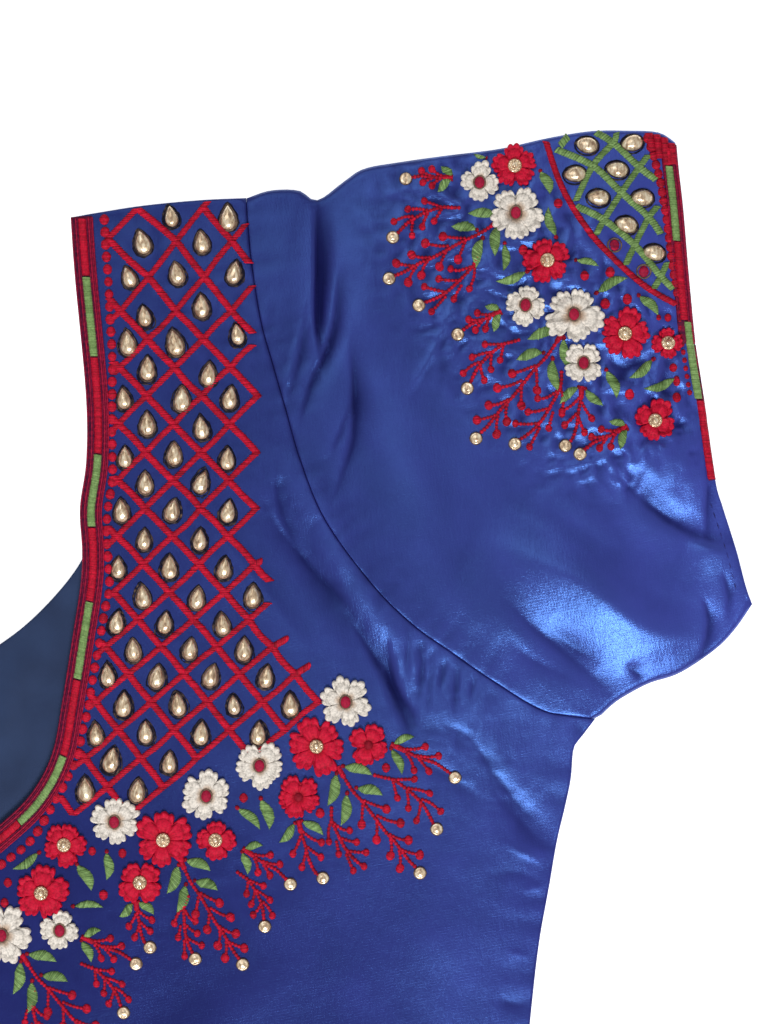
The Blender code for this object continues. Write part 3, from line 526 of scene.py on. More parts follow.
def new_object(name, verts, faces, material, tone, slot):
    """A piece from garment millimetres, with its colour attribute, riding on the one body."""
    mesh = bpy.data.meshes.new(name)
    places = np.stack([verts[:, 0], verts[:, 1] - CENTRE_UP, verts[:, 2]], axis=1) * MM
    mesh.from_pydata(places.tolist(), [], [list(map(int, f)) for f in faces])
    mesh.update()
    mesh.shade_smooth()
    layer = mesh.attributes.new("tone", "FLOAT_COLOR", "POINT")
    layer.data.foreach_set("color", np.ascontiguousarray(tone, np.float32).ravel())
    mesh.materials.append(material)
    built = bpy.data.objects.new(name, mesh)
    bpy.context.collection.objects.link(built)
    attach(built, "root")
    return built


EDGE_SHARE, SEAM_RADIUS = 0.15, 0.25


def shell(name, outline, spacing, top, bottom, material, slot, low_spacing, radius, fine=False):
    """A closed wall over the outline, with a rounded edge."""
    grid = cloth_points(outline, spacing) if fine else hex_grid(outline, spacing, 3.0 + 0.3 * spacing)
    inner = np.vstack([rim_rows(outline, RIM_DEPTHS), grid])
    low_points = hex_grid(outline, low_spacing, low_spacing / 2)
    upper, lower = np.vstack([outline, inner]), np.vstack([outline, low_points])
    tops = top(upper)
    middle = (tops + bottom(upper)) / 2
    local = np.where(fine & (distance(folded(upper), SEAM) < 1.5), SEAM_RADIUS, radius)
    rise = quarter(distance(upper, looped(outline)), local)
    tops = middle + (tops - middle) * (EDGE_SHARE + (1 - EDGE_SHARE) * rise)
    under, rim = bottom(lower), top(outline)
    count, start = len(outline), len(upper)
    under[:count] = (rim + under[:count]) / 2 - EDGE_SHARE * (rim - under[:count]) / 2
    verts = np.vstack([np.column_stack([upper, tops]), np.column_stack([lower, under])])
    faces = [tuple(f) for f in fill(outline, inner)]
    faces += [tuple(start + f[::-1]) for f in fill(outline, low_points)]
    walls = [(i, start + i, start + (i + 1) % count, (i + 1) % count) for i in range(count)]
    faces += walls if signed_area(outline) > 0 else [wall[::-1] for wall in walls]
    # The upper side of a fine cloth carries the painted shade of its hollows.
    shade = on_grid(SHADE, upper) if fine else np.ones(len(upper))
    return new_object(name, verts, faces, material,
                      painted_shade_and_sheen(verts, np.concatenate([shade, np.ones(len(lower))])), slot)


# ---------------------------------------------------------------- batches of embroidery

LEFT_SHIFT = 0.8


class Batch:
    """Many small raised shapes of one kind, kept as (out, up, lift) and laid on the cloth."""

    def __init__(self):
        self.points, self.tones, self.faces, self.count = [], [], [], 0

    def add(self, points, faces, tone):
        self.points.append(points)
        self.tones.append(tone)
        self.faces += [group + self.count for group in faces]
        self.count += len(points)

    def build(self, name, material, slot, sides=(1, -1), shift=LEFT_SHIFT):
        """One piece. The left side's copy is shifted a little, as handwork is."""
        points = np.vstack(self.points)
        verts, faces = [], []
        for copy, way in enumerate(sides):
            laid = points.copy()
            if way < 0:
                out, up = points[:, 0], points[:, 1]
                laid[:, 0] = -(out + shift * np.sin(up / 31.0) * np.clip(out / 30, 0, 1))
                laid[:, 1] = up + shift * np.sin(out / 37.0 + 0.8) * np.clip(out / 30, 0, 1)
            laid[:, 2] += laid_height(laid[:, :2])
            verts.append(laid)
            for group in self.faces:
                faces += [tuple(copy * len(points) + f) for f in (group if way > 0 else group[:, ::-1])]
        return new_object(name, np.vstack(verts), faces, material,
                          np.vstack([np.vstack(self.tones)] * len(sides)), slot)


ACROSS = np.array([-1.0, -0.86, -0.5, 0.0, 0.5, 0.86, 1.0])
CROWN = np.array([-0.15, 0.48, 0.87, 1.0, 0.87, 0.48, -0.15])


def grid_faces(rows, columns, wrap=False):
    i = np.arange(rows - 1)[:, None]
    j = np.arange(columns if wrap else columns - 1)[None, :]
    k = (j + 1) % columns
    quads = np.stack([i * columns + j, (i + 1) * columns + j, (i + 1) * columns + k, i * columns + k],
                     axis=-1)
    return quads.reshape(-1, 4)


def tones_of(red, green):
    """A colour attribute from its red and its green."""
    tone = np.zeros((*np.broadcast_shapes(np.shape(red), np.shape(green)), 4))
    tone[..., 0], tone[..., 1], tone[..., 3] = red, green, 1
    return tone.reshape(-1, 4)


def own_tone(rows, base, spread):
    """Each thread's own brightness."""
    return np.clip(base + spread * RANDOM.standard_normal((rows, 1)), 0, 1)


def satin(batch, path, half_width, rise, slant=0.0, pitch=0.5, ridge=0.13, shape=None,
          tone=0.5, spread=0.16, base_lift=0.0, bead=0.0, gap=0.25):
    """A padded satin stitch: threads side by side across the path, each a small ridge."""
    path = np.asarray(path, float)
    line = resampled(path, pitch / 2)
    if len(line) < 4:
        line = resampled(path, math.dist(path[0], path[-1]) / 4)
    count = len(line)
    along = tangents(line)
    full = half_width * (np.ones(count) if shape is None else shape(np.linspace(0, 1, count)))
    odd = np.arange(count) % 2
    width = full * (1 + 0.05 * RANDOM.standard_normal(count) * odd - bead * (1 - odd))
    body = rise * np.sqrt(np.maximum(full / half_width, 0.05))
    offset = ACROSS[None, :] * width[:, None]
    places = (line[:, None] + leftward(along)[:, None] * offset[..., None]
              + along[:, None] * (slant * offset)[..., None])
    lift = (body + odd * ridge)[:, None] * CROWN[None, :] + base_lift
    # Painted shade: the lower threads between the ridges are darker by gap.
    own = np.clip(own_tone(count, tone, spread) - gap * (1 - odd)[:, None], 0, 1)
    batch.add(np.concatenate([places, lift[..., None]], axis=2).reshape(-1, 3),
              [grid_faces(count, len(ACROSS))], tones_of(own, np.linspace(0, 1, len(ACROSS))))


def ellipse_ends(share):
    return np.sqrt(np.maximum(1 - (2 * share - 1) ** 2, 0.02))


def almond(share):
    return np.maximum(np.sin(math.pi * share ** 0.9) ** 0.95, 0.05)


def dot(batch, out, up, radius, rise, turn=0.0, tone=0.5):
    """A satin-stitched dot with threads across."""
    step = radius * 1.1 * np.array([math.sin(turn), -math.cos(turn)])
    centre = np.array([out, up])
    satin(batch, [centre - step, centre + step], radius, rise, shape=ellipse_ends, tone=tone,
          pitch=0.55, ridge=0.12)


def dome(batch, out, up, outline, levels, tone, base_lift=0.0):
    """Rings of an outline, each a (share of outline, lift), closed at the crown."""
    sides = len(outline)
    rings = [np.column_stack([outline * share + [out, up], np.full(sides, lift + base_lift)])
             for share, lift in levels]
    points = np.vstack(rings + [[[out, up, levels[-1][1] + base_lift + 0.02]]])
    last = (len(levels) - 1) * sides
    k = np.arange(sides)
    cap = np.stack([last + k, last + (k + 1) % sides, np.full(sides, len(points) - 1)], axis=1)
    batch.add(points, [grid_faces(len(levels), sides, wrap=True)[:, ::-1], cap],
              tones_of(tone, np.append(np.repeat([share for share, _ in levels], sides), 0)))


def turned(points, angle):
    c, s = math.cos(angle), math.sin(angle)
    return points @ np.array([[c, s], [-s, c]])


def teardrop(half_width, half_height, sides=24):
    angle = math.pi / 2 + np.linspace(0, 2 * math.pi, sides, endpoint=False)
    across = np.cos(angle) * ((1.04 - np.sin(angle)) / 2) ** 0.42
    across /= np.abs(across).max()
    return np.stack([half_width * across, half_height * np.sin(angle)], axis=1)


def egg(half_width, half_height, sides=24):
    angle = math.pi / 2 + np.linspace(0, 2 * math.pi, sides, endpoint=False)
    return np.stack([half_width * (np.cos(angle) * (1 - 0.16 * np.sin(angle))),
                     half_height * np.sin(angle)], axis=1)


def oval(half_width, half_height, sides=18):
    angle = np.linspace(0, 2 * math.pi, sides, endpoint=False)
    return np.stack([half_width * np.cos(angle), half_height * np.sin(angle)], axis=1)


# Domes: share of the outline, lift.
STONE_LEVELS = [(1, 0), (1, 0.75), (0.94, 1.2), (0.8, 1.7), (0.55, 2.15), (0.26, 2.4)]
STUD_LEVELS = [(1, -0.1), (1, 0.7), (0.9, 1.15), (0.65, 1.5), (0.35, 1.68)]
STUD_DISC = [(1, -0.1), (1, 0.75), (0.93, 1), (0.75, 1.1), (0.6, 0.95), (0.45, 1.2)]
STUD_PLATE = [(1, 0.9), (1, 1.35), (0.93, 1.6), (0.6, 1.7)]
BEAD_LEVELS = [(1, 0), (0.9, 0.35), (0.5, 0.6)]
MIDDLE_LEVELS = [(1, 0.3), (1, 0.7), (0.85, 1), (0.5, 1.25)]
KNOT_LEVELS = [(1, 0.2), (0.8, 0.6), (0.4, 0.8)]
CORD_SIDES = 6


def ring(batch, out, up, outline, minor, rise, twists, tone):
    """A closed twisted cord round an outline."""
    line = resampled(looped(outline), 0.9)[:-1]
    count = len(line)
    along = np.roll(line, -1, axis=0) - np.roll(line, 1, axis=0)
    along /= np.hypot(*along.T)[:, None]
    swell = 1 + 0.16 * np.sin(2 * math.pi * twists * np.arange(count) / count)
    swell *= 1 + 0.10 * RANDOM.standard_normal(count)
    angle = 2 * math.pi * np.arange(CORD_SIDES) / CORD_SIDES
    radius = minor * swell[:, None]
    across = radius * np.cos(angle)[None]
    places = line[:, None] + leftward(along)[:, None] * across[..., None] + [out, up]
    points = np.concatenate([places, (rise + radius * np.sin(angle)[None])[..., None]], axis=2)
    batch.add(looped(points).reshape(-1, 3), [grid_faces(count + 1, CORD_SIDES, wrap=True)[:, ::-1]],
              tones_of(own_tone(count + 1, tone, 0.18), np.linspace(0, 1, CORD_SIDES)))


FLOWER_REACH = np.array([0.12, 0.26, 0.42, 0.58, 0.70, 0.775, 0.815, 0.87, 0.94, 0.985, 1.0])[:, None]
FLOWER_BODY = np.array([0.42, 0.58, 0.80, 0.88, 0.80, 0.46, 0.66, 0.94, 0.96, 0.55, -0.1])[:, None]
PER_SCALLOP = 9
FLOWER_LIFT = 0.4
FLOWER_RISE, FLOWER_TONE, RED_RUFFLE = 1.35, 0.75, 0.12


def flower(batch, out, up, radius, petals, turn, ruffle):
    """Satin petals, each with a rim of round loops, about a dished middle."""
    scallops = 3 if petals > 5 else 4
    per = PER_SCALLOP * scallops
    count = petals * per
    k = np.arange(count)
    u = ((k % per) + 0.5) / per * 2 - 1
    angle = turn + 2 * math.pi * k / count + np.repeat(RANDOM.normal(0, 0.05, petals), per)
    petal = np.repeat(RANDOM.uniform(0.93, 1.05, petals), per)
    notch = 0.52 if petals < 5 else 0.62
    loops = np.repeat(RANDOM.normal(1, 0.035, petals * scallops), PER_SCALLOP)
    edge = petal * loops * (notch + (1 - notch) * (1 - np.abs(u) ** 3.2) ** 0.5)
    scallop = np.abs(np.sin(math.pi * scallops / 2 * (u + 1)))
    outer, above = FLOWER_REACH > 0.79, FLOWER_BODY > 0
    gap = np.exp(-((1 - np.abs(u)) / 0.11) ** 2)
    share = FLOWER_REACH * (edge * np.where(outer, 0.89 + 0.13 * scallop ** 0.6, 0.95))
    thread = 0.15 * (k % 2) * np.minimum(1, FLOWER_REACH * 1.6)
    body = FLOWER_BODY * np.where(outer, 0.40 + 0.66 * scallop ** 0.8, 1.0)
    lift = FLOWER_RISE * body * (1 - 0.42 * gap) + np.where(above & ~outer, thread, 0)
    wave = ruffle * np.sin(3 * math.pi * u + 7 * petal) * FLOWER_REACH
    lift = lift + np.where(above, wave + FLOWER_LIFT, 0)
    points = np.stack([out + radius * share * np.cos(angle), up + radius * share * np.sin(angle), lift],
                      axis=-1).reshape(-1, 3)
    # Painted shade: the threads darken in the groove inside the rim, between the rim's loops, along the gaps
    # between petals and on every other inner thread, where the petal dips.
    painted_groove_shade = np.exp(-((FLOWER_REACH - 0.775) / 0.035) ** 2)
    between = np.where(outer, 0.42 * np.exp(-(scallop / 0.25) ** 2), 0)
    own = FLOWER_TONE + 0.15 * RANDOM.standard_normal(count) * np.where(outer, 0.5, 1.0)
    own = own - 0.12 * ((k + 1) % 2) * ~outer
    own = np.clip(own - 0.45 * painted_groove_shade - between - 0.30 * gap * (FLOWER_REACH > 0.35), 0, 1)
    batch.add(points, [grid_faces(len(FLOWER_REACH), count, wrap=True)[:, ::-1]],
              tones_of(own, FLOWER_REACH))


# ---------------------------------------------------------------- materials


def new_material(name, roughness=0.5, **sockets):
    material = bpy.data.materials.new(name)
    material.use_nodes = True
    shader = material.node_tree.nodes["Principled BSDF"]
    shader.inputs["Roughness"].default_value = roughness
    for key, value in sockets.items():
        shader.inputs[key.replace("_", " ")].default_value = value
    return material, material.node_tree, shader


def node(tree, kind, **settings):
    made = tree.nodes.new(kind)
    for key, value in settings.items():
        setattr(made, key, value)
    return made


def object_place(tree):
    return node(tree, "ShaderNodeTexCoord").outputs["Object"]


def mapped(tree, **settings):
    """The object's coordinates, turned or stretched."""
    made = node(tree, "ShaderNodeMapping")
    for key, value in settings.items():
        made.inputs[key].default_value = value
    tree.links.new(object_place(tree), made.inputs["Vector"])
    return made.outputs["Vector"]


def read_tone(tree):
    """The colour attribute's channels."""
    tone = node(tree, "ShaderNodeAttribute", attribute_name="tone")
    split = node(tree, "ShaderNodeSeparateColor")
    tree.links.new(tone.outputs["Color"], split.inputs["Color"])
    return split.outputs


def ramp(tree, source, stops):
    made = node(tree, "ShaderNodeValToRGB")
    elements = made.color_ramp.elements
    while len(elements) < len(stops):
        elements.new(0.5)
    for element, (at, colour) in zip(elements, stops):
        element.position = at
        element.color = (*colour, 1)
    tree.links.new(source, made.inputs["Fac"])
    return made.outputs["Color"]


def noise(tree, scale, detail=3.0, coordinates=None, distortion=0.0):
    made = node(tree, "ShaderNodeTexNoise")
    made.inputs["Scale"].default_value = scale
    made.inputs["Detail"].default_value = detail
    made.inputs["Distortion"].default_value = distortion
    if coordinates is None:
        coordinates = object_place(tree)
    tree.links.new(coordinates, made.inputs["Vector"])
    return made.outputs["Fac"]


def bump(tree, shader, height, strength, distance, after=None):
    made = node(tree, "ShaderNodeBump")
    made.inputs["Strength"].default_value = strength
    made.inputs["Distance"].default_value = distance
    tree.links.new(height, made.inputs["Height"])
    if after is not None:
        tree.links.new(after, made.inputs["Normal"])
    tree.links.new(made.outputs["Normal"], shader.inputs["Normal"])
    return made.outputs["Normal"]


THREAD_SIZE = 0.0005


def weave(tree, angle):
    """Height of a plain weave: two crossed sets of threads, from object coordinates."""
    turned_place = mapped(tree, Rotation=(0, 0, angle))
    heights = []
    for direction in ("X", "Y"):
        wave = node(tree, "ShaderNodeTexWave", bands_direction=direction)
        wave.inputs["Scale"].default_value = 2 * math.pi / THREAD_SIZE / 20
        wave.inputs["Distortion"].default_value = 0.6
        wave.inputs["Detail"].default_value = 1.0
        tree.links.new(turned_place, wave.inputs["Vector"])
        heights.append(wave.outputs["Fac"])
    add = node(tree, "ShaderNodeMath", operation="ADD")
    for height, socket in zip(heights, add.inputs):
        tree.links.new(height, socket)
    return add.outputs[0]


def multiplied(tree, *colours):
    """The colours multiplied together."""
    total = colours[0]
    for colour in colours[1:]:
        mix = node(tree, "ShaderNodeMix", data_type="RGBA", blend_type="MULTIPLY")
        mix.inputs["Factor"].default_value = 1.0
        tree.links.new(total, mix.inputs["A"])
        tree.links.new(colour, mix.inputs["B"])
        total = mix.outputs["Result"]
    return total


WHITE = (1.0, 1.0, 1.0)


def satin_cloth(name):
    material, tree, shader = new_material(
        name, 0.30, Metallic=0.12, IOR=1.75, Specular_IOR_Level=1.0, Anisotropic=0.35,
        Specular_Tint=(0.13, 0.36, 0.85, 1))
    # The tone's red darkens the base colour with painted shade, its green scales the gloss, and its blue
    # brightens the colour with painted sheen towards the sleeves.
    tone = read_tone(tree)
    tree.links.new(tone["Green"], shader.inputs["Specular IOR Level"])
    colour = ramp(tree, noise(tree, 55.0, 4.0),
                  [(0.30, (0.023, 0.025, 0.165)), (0.70, (0.029, 0.031, 0.205))])
    shade = ramp(tree, tone["Red"], [(0.0, (0.22, 0.25, 0.28)), (1.0, WHITE)])
    tree.links.new(multiplied(tree, colour, shade, tone["Blue"]), shader.inputs["Base Color"])
    threads = mapped(tree, Rotation=(0, 0, 0.6), Scale=(1.0, 0.22, 1.0))
    fine = bump(tree, shader, weave(tree, 0.1), 0.12, 0.0001)
    streaks = bump(tree, shader, noise(tree, 900.0, 2.0, threads), 0.22, 0.0003, fine)
    grain = bump(tree, shader, noise(tree, 2600.0, 1.0), 0.25, 0.0002, streaks)
    bump(tree, shader, noise(tree, 210.0), 0.18, 0.0006, grain)
    return material


def lining_cloth(name):
    material, tree, shader = new_material(name, 0.7, Specular_IOR_Level=0.25)
    colour = ramp(tree, noise(tree, 60.0, 4.0), [(0.3, (0.008, 0.020, 0.062)), (0.7, (0.014, 0.032, 0.090))])
    tree.links.new(colour, shader.inputs["Base Color"])
    fine = bump(tree, shader, weave(tree, 0.4), 0.10, 0.0001)
    bump(tree, shader, noise(tree, 180.0), 0.2, 0.0005, fine)
    return material


def speckle(tree, depth):
    """The fine light and dark of twisted fibres."""
    return ramp(tree, noise(tree, 1500.0), [(0.36, (1 - depth,) * 3), (0.60, WHITE)])


def thread(name, dark, bright, roughness):
    """Embroidery thread: each thread's own brightness, with painted shade where the stitches dip between
    threads, and the fibres' fine relief.
    """
    material, tree, shader = new_material(name, roughness, Specular_IOR_Level=0.14)
    colour = ramp(tree, read_tone(tree)["Red"], [(0.1, dark), (0.9, bright)])
    tree.links.new(multiplied(tree, colour, speckle(tree, 0.34)), shader.inputs["Base Color"])
    bump(tree, shader, noise(tree, 1300.0, 2.0), 0.45, 0.0003)
    return material


def petal_thread(name, middle, near, rim):
    material, tree, shader = new_material(name, 0.6, Specular_IOR_Level=0.12)
    tone = read_tone(tree)
    colour = ramp(tree, tone["Green"], [(0.22, middle), (0.36, near), (0.5, rim)])
    # Red holds each thread's own tone with the painted shade of the flower's grooves.
    shade = ramp(tree, tone["Red"], [(0.0, (0.42, 0.42, 0.42)), (0.6, WHITE)])
    tree.links.new(multiplied(tree, colour, shade, speckle(tree, 0.30)), shader.inputs["Base Color"])
    bump(tree, shader, noise(tree, 1100.0, 2.0), 0.5, 0.0004)
    return material


def gold(name):
    material, tree, shader = new_material(name, 0.26, Metallic=0.55)
    streaks = noise(tree, 950.0, 3.0, mapped(tree, Scale=(1.0, 0.45, 1.0)), 0.6)
    mottle = ramp(tree, streaks, [(0.33, (0.34, 0.22, 0.14)), (0.5, (0.66, 0.50, 0.33)),
                                  (0.68, (0.93, 0.82, 0.62))])
    edge = ramp(tree, read_tone(tree)["Green"], [(0.93, WHITE), (1.0, (0.70, 0.58, 0.50))])
    tree.links.new(multiplied(tree, mottle, edge), shader.inputs["Base Color"])
    bump(tree, shader, noise(tree, 600.0, 1.0), 0.30, 0.0004)
    return material


BLUE = satin_cloth("blue_satin")
DARK = lining_cloth("dark_lining")
RED = thread("red_thread", (0.17, 0.002, 0.011), (0.66, 0.006, 0.036), 0.65)
MAROON = thread("maroon_thread", (0.055, 0.004, 0.030), (0.40, 0.008, 0.040), 0.65)
GREEN = thread("green_thread", (0.075, 0.140, 0.038), (0.270, 0.430, 0.150), 0.5)
CREAM = petal_thread("cream_thread", (0.32, 0.19, 0.12), (0.54, 0.43, 0.34), (0.74, 0.68, 0.61))
PETAL_RED = petal_thread("petal_red_thread", (0.30, 0.003, 0.015), (0.50, 0.005, 0.026),
                         (0.54, 0.006, 0.034))
BLUE_THREAD = thread("blue_thread", (0.012, 0.013, 0.09), (0.045, 0.055, 0.30), 0.5)
ZARI = thread("zari_thread", (0.006, 0.005, 0.016), (0.20, 0.13, 0.09), 0.5)
GOLD = gold("gold_stone")

# ---------------------------------------------------------------- the cloth

# Spacings of the points on an outline, and on a path that is stitched.
EDGE_SPACING, FINE_STEP, STITCH_STEP = 2.2, 0.25, 0.3
HEM_INSET = 1.0
neck_edge, shoulder, armhole, side = (smooth_path(line, EDGE_SPACING)
                                      for line in (BACK_NECK, SHOULDER, ARMHOLE, SIDE))
hem = smooth_path(HEM, 2.6)
full_neck = np.vstack([neck_edge, mirrored(neck_edge)[-2::-1]])
half_rim = np.vstack([shoulder, armhole[1:], side[1:], hem[1:]])
back_outline = np.vstack([half_rim, mirrored(half_rim)[-2::-1], full_neck[-2:0:-1]])


def flat(height):
    return lambda p: np.full(len(p), height)


def inner_side(p):
    """The under side of the upper layer, a wall below the lowest height near each place."""
    return on_grid(LOWEST_NEAR, p) - WALL


back = shell("back_cloth", back_outline, 2.3, upper_height, inner_side, BLUE, "blue_satin", 5.0, 0.9, True)
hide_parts("back_panel")

front_neck = smooth_path(FRONT_NECK, 2.5)
front_outline = np.vstack([
    smooth_path([tuple(front_neck[0])] + SHOULDER[2:], 3.0), armhole[1:], side[1:],
    hem[1:-1] + [0, HEM_INSET],
    [(SEAM_GAP, HEM_UP + HEM_INSET), (SEAM_GAP, front_neck[-1][1])], front_neck[-2:0:-1]])

PLACKET_HALF_WIDTH, PLACKET_TOP_INSET, PLACKET_HEM_INSET = 11.0, 0.8, 2.5
LINING_TOP_UP, LINING_OVERLAP, LINING_INSET = -104.0, 22.0, 0.6
LINING_CREASES = [(66, -152, 55, -178, 4, 0.7), (68, -186, 58, -202, 3.5, 0.6),
    (40, -170, 34, -205, 5, 0.6), (18, -178, 22, -214, 5, 0.5)]


def lining_height(p):
    places = folded(p)
    fade = np.minimum(1.0, distance(places, NECK) / 12.0)
    return LINING_TOP + fade * (fold_height(warped(places), LINING_CREASES) + 0.8 * waves(p, WAVES[2:]))


def lining_ring():
    centre = PLACKET_HALF_WIDTH + SEAM_GAP
    neck = smooth_path(FRONT_NECK, EDGE_SPACING)
    neck = neck[(neck[:, 1] < LINING_TOP_UP) & (neck[:, 0] > centre + LINING_INSET)]
    foot = offset_path(neck_edge[neck_edge[:, 1] < LINING_TOP_UP], LINING_OVERLAP)[::-1]
    return np.vstack([[(centre, foot[0][1])], foot[foot[:, 0] > centre + LINING_INSET], neck,
                      [(centre, FRONT_NECK[-1][1] + LINING_INSET)]])


lining_outline = lining_ring()


def sleeve_ring():
    """The sleeve's outline, and where on it the fold, the cuff, the underarm and the cap start."""
    fold, cuff, under = (smooth_path(line, EDGE_SPACING) for line in (SLEEVE_FOLD, CUFF, UNDERARM))
    cap = offset_path(armhole, SEAM_LINE)[::-1]
    fold[0], under[-1] = cap[-1], cap[0]
    parts = [part[:-1] for part in (fold, cuff, under, cap)]
    return np.vstack(parts), np.cumsum([0] + [len(part) for part in parts])[:4]


def sleeve(name, direction):
    """A flattened tube, folded on top and seamed under the arm, open at both ends."""
    ring_points, (fold, cuff, under, cap) = sleeve_ring()
    count = len(ring_points)
    closed, opened = ((fold, cuff), (under, cap)), ((cuff, under), (cap, count))
    inset = ring_points.copy()
    for start, stop in closed:
        for k in range(start, stop + 1):
            here, before, after = ring_points[k % count], ring_points[k - 1], ring_points[(k + 1) % count]
            if k == start:
                along = before - here
            elif k == stop:
                along = after - here
            else:
                along = (after - before)[::-1] * [1, -1]
            inset[k % count] = here + along / math.hypot(*along) * WALL
    outline, hollow = ring_points * [direction, 1], inset * [direction, 1]

    def stretch_distance(p, stretches):
        return np.minimum(*(distance(p, looped(outline)[start:stop + 1]) for start, stop in stretches))

    def top(p):
        height = upper_height(p) - 0.15 * (1 - quarter(stretch_distance(p, opened), 0.5))
        return FOLD_MIDDLE + (height - FOLD_MIDDLE) * quarter(stretch_distance(p, closed), FOLD_ROUNDING)

    def low(p):
        return FOLD_MIDDLE * (1 - quarter(stretch_distance(p, closed), 1.6))

    fine = np.vstack([rim_rows(outline, RIM_DEPTHS), cloth_points(outline, 2.0)])
    coarse = hex_grid(outline, 5.0, 4.0)
    rough = np.vstack([rim_rows(outline, (0.5, 1.6)), hex_grid(outline, 14.0, 6.0)])
    verts, faces, shades = [], [], []

    def surface(edge, points, height):
        start = sum(map(len, verts))
        every = np.vstack([edge, points])
        verts.append(np.column_stack([every, height(every)]))
        # The outer top carries the painted shade of its hollows.
        shades.append(on_grid(SHADE, every) if height is top else np.ones(len(every)))
        faces.extend(tuple(start + f) for f in fill(edge, points))
        return start

    def strip(first, second, start, stop):
        for k in range(start, stop):
            a, b = k % count, (k + 1) % count
            faces.append((first + a, second + a, second + b, first + b))

    outer_top = surface(outline, fine, top)
    outer_low = surface(outline, rough, low)
    inner_top = surface(hollow, coarse, lambda p: np.maximum(inner_side(p), WALL + 0.2))
    inner_low = surface(hollow, coarse, flat(0.8))
    for start, stop in closed:
        strip(outer_top, outer_low, start, stop)
        strip(inner_top, inner_low, start, stop)
    for start, stop in opened:
        strip(outer_top, inner_top, start, stop)
        strip(outer_low, inner_low, start, stop)
        for k in (start % count, stop % count):
            faces.append((outer_top + k, inner_top + k, inner_low + k, outer_low + k))
    verts = np.vstack(verts)
    built = new_object(name, verts, faces, BLUE, painted_shade_and_sheen(verts, np.concatenate(shades)), "blue_satin")
    shape = bmesh.new()
    shape.from_mesh(built.data)
    bmesh.ops.recalc_face_normals(shape, faces=shape.faces)
    shape.to_mesh(built.data)
    shape.free()
    return built


sleeve_outline = sleeve_ring()[0]
fronts, linings, sleeves = {}, {}, {}
for label, way in BOTH:
    fronts[label] = shell("front_cloth_" + label, front_outline * [way, 1], 9.0, flat(FRONT_TOP), flat(0.0),
                          BLUE, "blue_satin", 20.0, 0.6)
    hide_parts("front_" + label)
    linings[label] = shell("lining_cloth_" + label, lining_outline * [way, 1], 2.6, lining_height,
                           flat(LINING_LOW), DARK, "dark_lining", 9.0, 0.7)
    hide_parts("front_lining_" + label)
    sleeves[label] = sleeve("sleeve_cloth_" + label, way)
    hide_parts("sleeve_" + label)

placket_low, placket_top = HEM_UP + PLACKET_HEM_INSET, FRONT_NECK[-1][1] + PLACKET_TOP_INSET
placket_outline = resampled(looped(np.array([
    (-PLACKET_HALF_WIDTH, placket_low), (PLACKET_HALF_WIDTH, placket_low),
    (PLACKET_HALF_WIDTH, placket_top), (-PLACKET_HALF_WIDTH, placket_top)])), 2.75)[:-1]
placket = shell("placket_cloth", placket_outline, 5.0, flat(LINING_TOP), flat(LINING_LOW), DARK,
                "dark_lining", 9.0, 0.6)
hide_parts("hook_placket")

# ---------------------------------------------------------------- the lattice

FIRST_COLUMN_OUT, COLUMN_PITCH = 96.4, 9.17
TOP_ROW_UP, UPPER_ROWS, UPPER_ROW_PITCH, ROW_PITCH = -0.7, 3, 11.2, 9.22
# Below this, the rows move towards the neck.
DRIFT_FROM_UP, DRIFT_RATE = -98.0, 0.00135
LAST_COLUMN_OF_ROW = [4, 3, 4, 3, 4, 3, 4, 3, 4, 3, 4, 3, 4, 5, 4, 5, 6, 7, 6, 3, 2]

# The hand-drawn lattice wanders. Columns: up, shift out, shift up.
WANDER = np.array([(0, -0.9, 0), (-12, -0.4, 0), (-24, -0.3, -0.8), (-45, -0.7, -0.9), (-80, -1.3, -1.4),
    (-100, -1.5, -1.3), (-130, -1.6, -1.2), (-152, -2.7, -0.5), (-175, -2.8, -0.5), (-195, -1.9, -0.9)])
# Crossings that stray from the rest: column and row, then shift out and up.
STRAYS = {(0, 1): (-4.2, 0.8), (1, 0): (-3.4, -0.4), (5, 3): (0.4, 3.2), (4, 2): (-0.6, 2)}


def nudged(column, row):
    """A crossing's place, with the lattice's wander."""
    upper = min(row, UPPER_ROWS)
    up = TOP_ROW_UP - UPPER_ROW_PITCH * upper - ROW_PITCH * (row - upper)
    drift = -DRIFT_RATE * max(0.0, DRIFT_FROM_UP - up) ** 2
    spot = np.array([FIRST_COLUMN_OUT + COLUMN_PITCH * column + drift, up])
    shift = [np.interp(-up, -WANDER[:, 0], WANDER[:, k]) for k in (1, 2)]
    return spot + shift + STRAYS.get((column, row), (0, 0))


def kept_run(path, polygon, clear):
    """The stretch of a path that lies inside the polygon, this far from its edge."""
    return path[inside(path, polygon) & (distance(path, looped(polygon)) > clear)]


DOT_LINE = [(90.5, -4.8), (91.2, -16.5), (91.9, -24.8), (92.5, -37.3), (93.2, -49.5), (93.2, -59.7),
    (93.1, -74.3), (93.3, -90), (91.9, -99.3), (91.3, -107.3), (91.7, -115.5), (92.3, -126.1), (90.7, -134),
    (89.4, -141.9), (86.5, -158.1), (85.4, -166), (83.3, -173.6), (82, -181.2), (78.8, -188.4),
    (74.8, -195.7), (71.2, -202.3), (66.4, -209.6), (59.2, -215.6), (43.5, -226), (22, -236.4), (0, -240.6)]
dot_path = smooth_path(DOT_LINE, 1.0)
lattice_area = np.vstack([dot_path, [(0, -300), (260, -300), (260, 40), (90.5, 40)]])
stones = [(column, row) for row, last in enumerate(LAST_COLUMN_OF_ROW)
          for column in range(row % 2, last + 1, 2) if (column, row) != (0, 0)]

